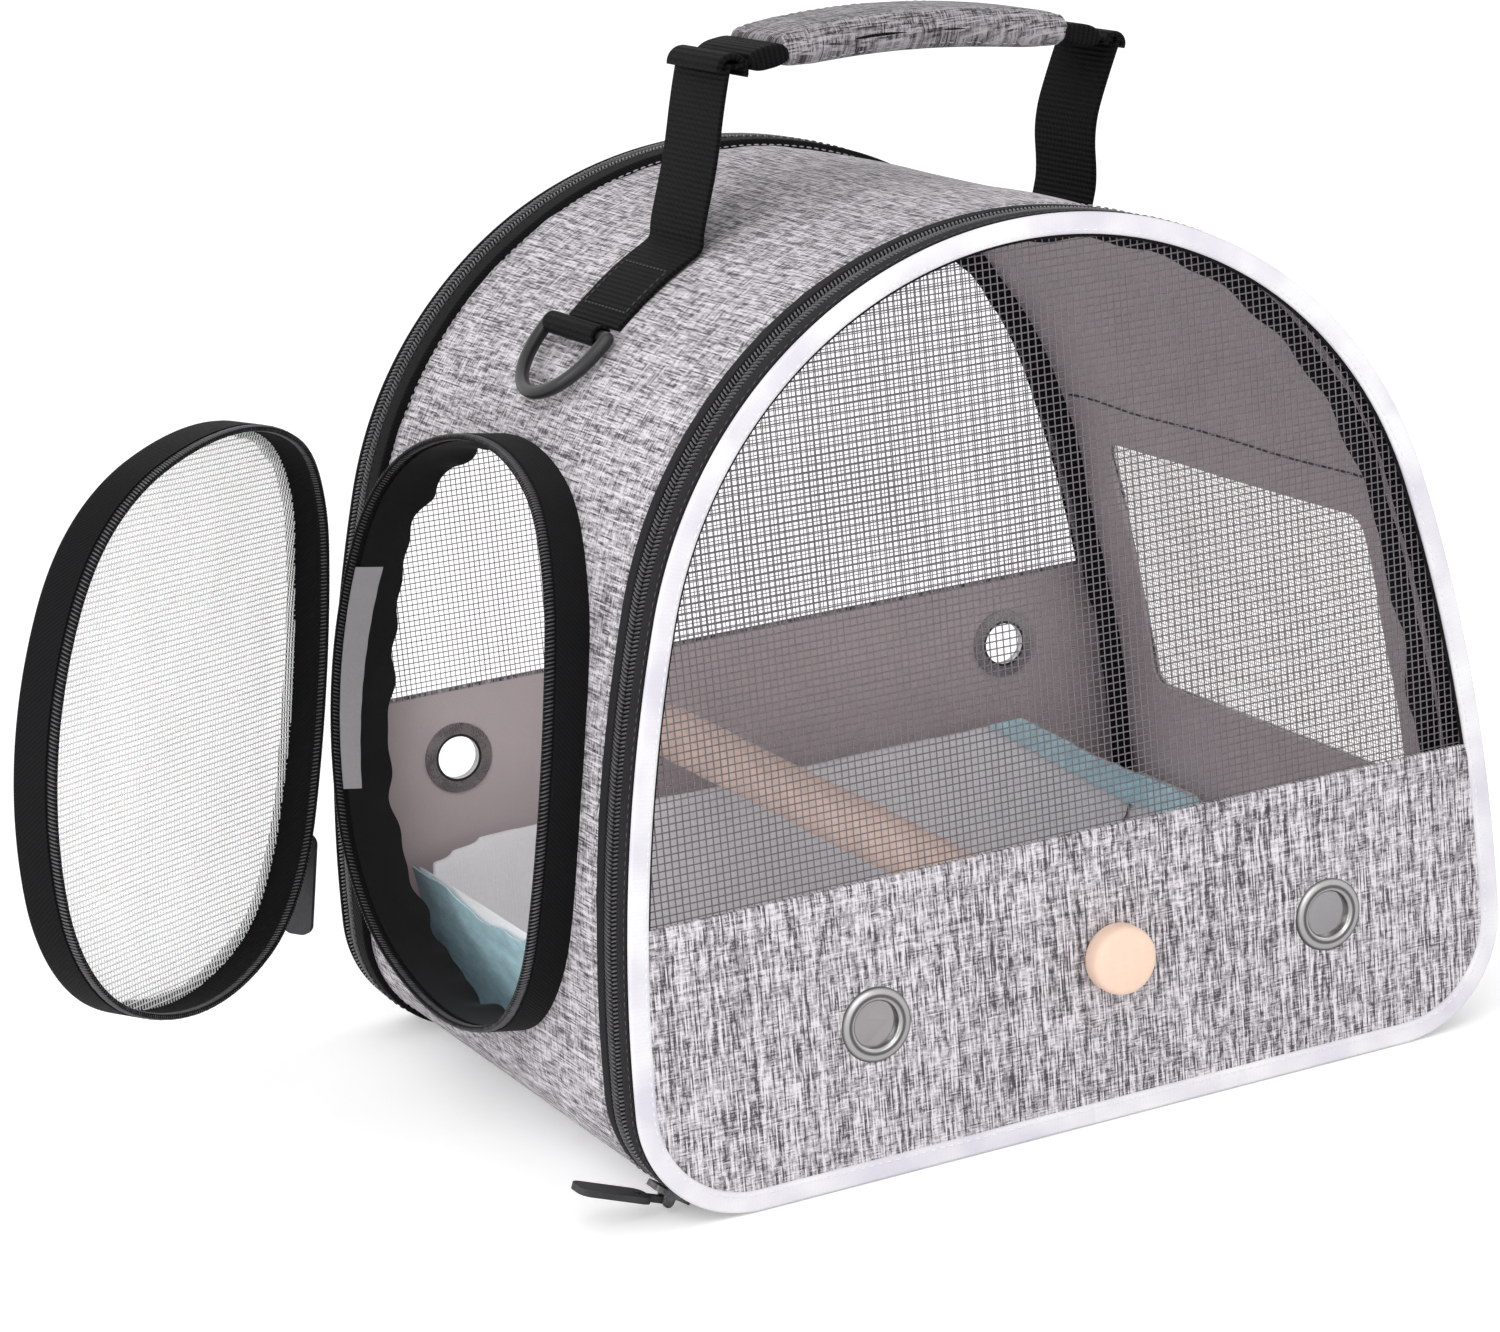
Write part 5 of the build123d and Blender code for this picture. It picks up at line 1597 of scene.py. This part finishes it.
class CarrierHandle(bpy.types.Operator):
    """Make the webbing handle with its padded grip"""
    bl_idname = "carrier.handle"
    bl_label = "Handle"

    def execute(self, context):
        for side, sign in (("left", -1), ("right", 1)):
            foot, top, bar = FEET[side], TOPS[side], BARS[side]
            run = (top - foot).normalized()
            bow = Vector((0.0012, 0, 0)) if side == "left" else Vector((-0.0042, 0, 0))
            inner = bar.x + sign * -0.006
            points = [roof_point(inner, 0.0009), roof_point((inner + foot.x) / 2, 0.0009),
                      roof_point(foot.x + sign * 0.004, 0.0010),
                      roof_point(foot.x + sign * -0.0006, 0.0012),
                      foot + run * 0.0030, foot + run * 0.010,
                      foot + run * 0.027 + bow, foot + run * 0.044 + bow * 0.4,
                      foot + run * 0.0556]
            path = bezier([tuple(p) for p in points], 130)
            cup = 0.0004 * np.sin(np.linspace(0, 3 * PI, 130))
            strip = ribbon("handle_strip_" + side, path, WEB_WIDE, WEB_THICK, cup=cup)
            paint(strip, "webbing")
            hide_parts("riser_" + side, "roof_strap_" + side)
            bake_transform(strip)
            out = (bar - Vector((0, 0, ROOF_Z))).normalized()
            down = Vector((sign * out.z, 0, -sign * out.x))
            turn = np.linspace(-0.55 * PI, 1.12 * PI, 40)
            r = 0.0030
            loop = [np.array(bar) + np.array(down) * r * math.cos(a)
                    + np.array(out) * r * math.sin(a) for a in turn[::-1]]
            wrap = ribbon("ring_loop_" + side, loop, LOOP_WIDE, 0.0011)
            settle(paint(wrap, "webbing"), "shell", "webbing")
            ends = (inner - sign * 0.004, inner - sign * 0.019)
            along = np.array([roof_point(x, 0.0017) for x in np.linspace(*ends, 16)])
            sides = (-0.0155, 0.0155)
            rows = [xyz(along[:, 0], y, along[:, 2]) for y in sides]
            rows += [xyz(p[0], np.linspace(*sides, 16), p[2]) for p in (along[0], along[-1])]
            for k, row in enumerate(rows):
                made = stitches("strap_stitches_%s_%d" % (side, k), row, (0, 1, 0.001),
                                mat("thread_dark"))
                settle(made, "shell", "webbing")
        self.grip()
        return {"FINISHED"}

    def grip(self):
        """The padded grip with its stitches, the strap through it, its cuffs and top folds."""
        total = float(run_of(grip_arc(200))[-1])
        long = 0.100
        a, b = (total - long) / 2 / total, (total + long) / 2 / total
        path = grip_arc(60, 0.0, a + 0.006, b - 0.006)
        normal = np.cross(unit(np.gradient(path, axis=0)), (0, 1, 0))
        normal *= np.sign(normal[:, 2])[:, None]
        rows = []
        for k, p in enumerate(path):
            f = k / 59.0
            end = min(f, 1 - f) / 0.09
            full = 0.72 + 0.28 * math.sqrt(min(1.0, end) * (2 - min(1.0, end)))
            shape = rounded(0.0395 * (0.93 + 0.07 * full), 0.0106 * full, 0.0046 * full, 5)
            rows.append(p + np.array((0, 1, 0)) * shape[:, :1] + normal[k] * shape[:, 1:2])
        pad = loft("grip_cloth", rows, wrap=False)
        puff(pad, 0.0021, 3.0, 0.0011)
        settle(paint(pad, "linen_grip"), "grip", "grey_linen", "grip_pad")
        tree = BVHTree.FromObject(pad, bpy.context.evaluated_depsgraph_get())
        rims = ((1, 0.0165), (1, -0.0165), (-1, 0.0165), (-1, -0.0165))
        for k, (lift, off) in enumerate(rims):
            row = []
            for q, nn in zip(path, normal):
                origin = Vector(q + np.array((0, off, 0)) + nn * 0.02 * lift)
                hit = tree.ray_cast(origin, Vector(-nn * lift))
                if hit[0] is not None:
                    row.append(np.array(hit[0]))
            row = stitches("grip_stitches_%d" % k, row, (0, 1, 0.001), mat("thread_grey"),
                           pitch=0.0032, length=0.0022, wide=0.0007)
            settle(row, "grip", "grey_linen")
        inside = grip_arc(150, 0.0, 0.018, 0.982)
        strap = ribbon("grip_strap_web", inside, WEB_WIDE, WEB_THICK)
        settle(paint(strap, "webbing"), "grip", "webbing", "grip_strap")
        for side, lo, hi in (("left", a - 0.011 / total, a + 0.010),
                             ("right", b - 0.010, b + 0.011 / total)):
            arc = grip_arc(26, 0.0, lo, hi)
            t = np.linspace(0, 1, 26)
            swell = 1 - 0.35 * np.abs(2 * t - 1) ** 3
            cuff = ribbon("grip_cuff_" + side, arc, 0.0398, 0.0072 * swell, r=0.0020)
            settle(paint(cuff, "webbing"), "grip", "webbing", "grip_cuffs")
            top = np.array(TOPS[side])
            sign = 1 if side == "left" else -1
            first, last, r = (0.02, 1.15, 0.0041) if sign > 0 else (-0.155, 0.975, 0.0028)
            curl = [top + np.array((sign * 0.0012, 0, -0.0006))
                    + np.array((-sign * math.cos(q), 0, math.sin(q))) * (r + 0.0002 * q)
                    for q in np.linspace(first * PI, last * PI, 46)]
            roll = ribbon("grip_fold_" + side, curl, LOOP_WIDE, 0.0021)
            settle(paint(roll, "webbing"), "grip", "webbing")


class CarrierHardware(bpy.types.Operator):
    """Dress the D-rings, sliders and pulls"""
    bl_idname = "carrier.hardware"
    bl_label = "Rings, sliders and pulls"

    def execute(self, context):
        for side in ("left", "right"):
            dress("d_ring_" + side, "ring_black")
        for which in ("front", "back", "door"):
            dress(which + "_slider", "lacquer")
            dress(which + "_pull", "rubber")
        return {"FINISHED"}


# ---- stage -----------------------------------------------------------------------------
class CarrierStage(bpy.types.Operator):
    """Set the floor, the lamps and the camera"""
    bl_idname = "carrier.stage"
    bl_label = "Stage"

    def execute(self, context):
        scene = context.scene
        mesh = bpy.data.meshes.new("floor")
        reach, level = 4.0, -0.0004
        mesh.from_pydata([(x * reach, y * reach, level)
                          for x, y in ((-1, -1), (1, -1), (1, 1), (-1, 1))], [], [(0, 1, 2, 3)])
        floor = bpy.data.objects.new("floor", mesh)
        scene.collection.objects.link(floor)
        m = Shader("floor")
        speck = m.specks(m.coords(False), 900)
        tone = m.blend(speck, (0.93, 0.93, 0.935, 1), (0.96, 0.96, 0.96, 1))
        seen_by = m.add("ShaderNodeLightPath", out="Is Camera Ray")
        lift = m.calc("MULTIPLY", seen_by, 0.30)
        floor.data.materials.append(m.finish(tone, 0.9, speck, 0.0001, 0.1,
                                             Emission_Color=(1, 1, 1, 1), Emission_Strength=lift))
        world = bpy.data.worlds.new("studio")
        scene.world = world
        world.use_nodes = True
        world.node_tree.nodes.clear()
        w = Nodes(world.node_tree)
        seen, lit = [w.add("ShaderNodeBackground", {0: (1, 1, 1, 1), 1: strength})
                     for strength in (1.05, 0.80)]
        rays = w.node("ShaderNodeLightPath").outputs
        straight = rays["Is Camera Ray"]
        for ray in ("Is Glossy Ray", "Is Transmission Ray"):
            straight = w.add("ShaderNodeMath", {0: straight, 1: rays[ray]},
                             operation="MAXIMUM")
        w.node("ShaderNodeOutputWorld", {
            0: w.add("ShaderNodeMixShader", {0: straight, 1: lit, 2: seen})})
        for name, spot, size, watts in (("key", (-0.9, -1.2, 1.5), 1.1, 8.5),
                                        ("front", (0.0, -1.7, 0.45), 0.9, 4.0),
                                        ("left", (-1.5, -0.2, 0.5), 0.9, 5.0),
                                        ("fill", (1.5, -0.6, 0.9), 1.2, 2.0)):
            lamp = bpy.data.lights.new(name, "AREA")
            lamp.shape = "DISK"
            lamp.size = size
            lamp.energy = watts
            holder = bpy.data.objects.new(name, lamp)
            scene.collection.objects.link(holder)
            aim = Vector((0, 0, 0.14)) - Vector(spot)
            holder.rotation_euler = aim.to_track_quat("-Z", "Y").to_euler()
            holder.location = spot
        yaw, pitch, roll = math.radians(24.368), math.radians(14.644), math.radians(-5.119)
        forward = Vector((math.sin(yaw) * math.cos(pitch), math.cos(yaw) * math.cos(pitch),
                          -math.sin(pitch)))
        right = Vector((math.cos(yaw), -math.sin(yaw), 0))
        up = right.cross(forward)
        right2 = right * math.cos(roll) + up * math.sin(roll)
        up2 = up * math.cos(roll) - right * math.sin(roll)
        camera = bpy.data.objects.new("camera", bpy.data.cameras.new("camera"))
        camera.data.lens = 108.0
        camera.data.sensor_width = 36.0
        camera.data.clip_start = 0.05
        place = Matrix.Translation((-0.61685, -1.25751, 0.49090))
        camera.matrix_world = place @ Matrix((right2, up2, -forward)).transposed().to_4x4()
        scene.collection.objects.link(camera)
        scene.camera = camera
        scene.view_settings.view_transform = "Standard"
        return {"FINISHED"}


# ---- add-on ----------------------------------------------------------------------------
def colour(name, text, value):
    """A colour among the add-on's settings."""
    return bpy.props.FloatVectorProperty(name=name, description=text, default=value, size=3,
                                         min=0.0, max=1.0, subtype="COLOR")


class CarrierColours(bpy.types.PropertyGroup):
    """Colours of the carrier's materials"""
    linen_light: colour("Linen light", "Light threads of the grey linen", (0.80, 0.758, 0.80))
    linen_dark: colour("Linen dark", "Dark threads of the grey linen", (0.066, 0.060, 0.068))
    lining: colour("Lining", "Lining cloth", (0.51, 0.444, 0.457))
    tape: colour("Tape", "Charcoal zip tape", (0.018, 0.0165, 0.019))
    # The coil is black; its colour is set lighter than the tape as a painted highlight on the
    # teeth.
    coil: colour("Coil", "Zip coil", (0.062, 0.059, 0.064))
    black: colour("Black cloth", "Black tape, binding and webbing", (0.0060, 0.0056, 0.0064))
    binding: colour("Binding", "White edge binding", (0.87, 0.865, 0.868))
    binding_shade: colour("Binding shade", "Shaded part of the binding", (0.60, 0.58, 0.645))
    net: colour("Net", "Threads of the front net", (0.165, 0.148, 0.165))
    net_back: colour("Back net", "Threads of the back net", (0.30, 0.27, 0.30))
    net_door: colour("Door net", "Threads of the door's net", (0.97, 0.965, 0.955))
    net_window: colour("Window net", "Threads of the window's net", (0.90, 0.87, 0.86))
    hinge: colour("Hinge tape", "Grey tape at the door's fold", (0.36, 0.35, 0.36))
    pad: colour("Pad", "Top of the floor pad", (0.93, 0.93, 0.95))
    film: colour("Pad edge", "Blue edge of the floor pad", (0.62, 0.90, 1.0))
    nickel: colour("Nickel", "Eyelets", (0.44, 0.43, 0.43))
    wood: colour("Wood", "Perch", (1.0, 0.76, 0.67))
    cap: colour("Cap", "End cap of the perch", (0.95, 0.70, 0.55))


def size(name, text, value):
    """A length among the add-on's settings."""
    return bpy.props.FloatProperty(name=name, description=text, default=value, min=0.00005,
                                   max=0.05, precision=5, unit="LENGTH", subtype="DISTANCE")


class CarrierSizes(bpy.types.PropertyGroup):
    """Sizes of the carrier's threads, teeth, stitches and soft edges"""
    net_pitch: size("Front net pitch", "Distance between the front net's threads", 0.00225)
    net_thread: size("Front net thread", "Radius of the front net's threads", 0.00021)
    back_net_pitch: size("Back net pitch", "Distance between the back net's threads", 0.00180)
    back_net_thread: size("Back net thread", "Radius of the back net's threads", 0.00016)
    door_net_pitch: size("Door net pitch", "Distance between the door net's threads", 0.00175)
    door_net_thread: size("Door net thread", "Radius of the door net's threads", 0.00028)
    window_net_pitch: size("Window net pitch", "Distance between the window net's threads",
                           0.00145)
    window_net_thread: size("Window net thread", "Radius of the window net's threads", 0.00020)
    coil_pitch: size("Coil pitch", "Distance between teeth of the two big zips", 0.00128)
    door_coil_pitch: size("Door coil pitch", "Distance between teeth of the door's zip", 0.00125)
    stitch_pitch: size("Stitch pitch", "Distance between stitches", 0.00260)
    fin_front: size("Front inner binding", "Height of the gathered binding at the front", 0.0074)
    fin_back: size("Back inner binding", "Height of the gathered binding at the back", 0.0088)
    pad_thickness: size("Pad thickness", "Thickness of the quilted pad", 0.0034)


def sizes():
    """The scene's sizes."""
    return bpy.context.scene.carrier_sizes


STEPS = (CarrierBody, CarrierWindow, CarrierZips, CarrierPanels, CarrierPerch, CarrierPad,
         CarrierDoorway, CarrierDoor, CarrierHandle, CarrierHardware, CarrierStage)


class CarrierPanel(bpy.types.Panel):
    """Steps, sizes and colours of the carrier"""
    bl_idname = "VIEW3D_PT_carrier"
    bl_label = "Carrier"
    bl_space_type = "VIEW_3D"
    bl_region_type = "UI"
    bl_category = "Carrier"

    def draw(self, context):
        column = self.layout.column(align=True)
        for step in STEPS:
            column.operator(step.bl_idname)
        for name in CarrierSizes.__annotations__:
            self.layout.prop(context.scene.carrier_sizes, name)
        for name in CarrierColours.__annotations__:
            self.layout.prop(context.scene.carrier_colours, name)


CLASSES = (CarrierColours, CarrierSizes, *STEPS, CarrierPanel)


def register():
    for item in CLASSES:
        bpy.utils.register_class(item)
    bpy.types.Scene.carrier_colours = bpy.props.PointerProperty(type=CarrierColours)
    bpy.types.Scene.carrier_sizes = bpy.props.PointerProperty(type=CarrierSizes)


def unregister():
    del bpy.types.Scene.carrier_sizes
    del bpy.types.Scene.carrier_colours
    for item in reversed(CLASSES):
        bpy.utils.unregister_class(item)


def main():
    register()
    for step in STEPS:
        group, call = step.bl_idname.split(".")
        getattr(getattr(bpy.ops, group), call)()


if __name__ == "__main__":
    main()
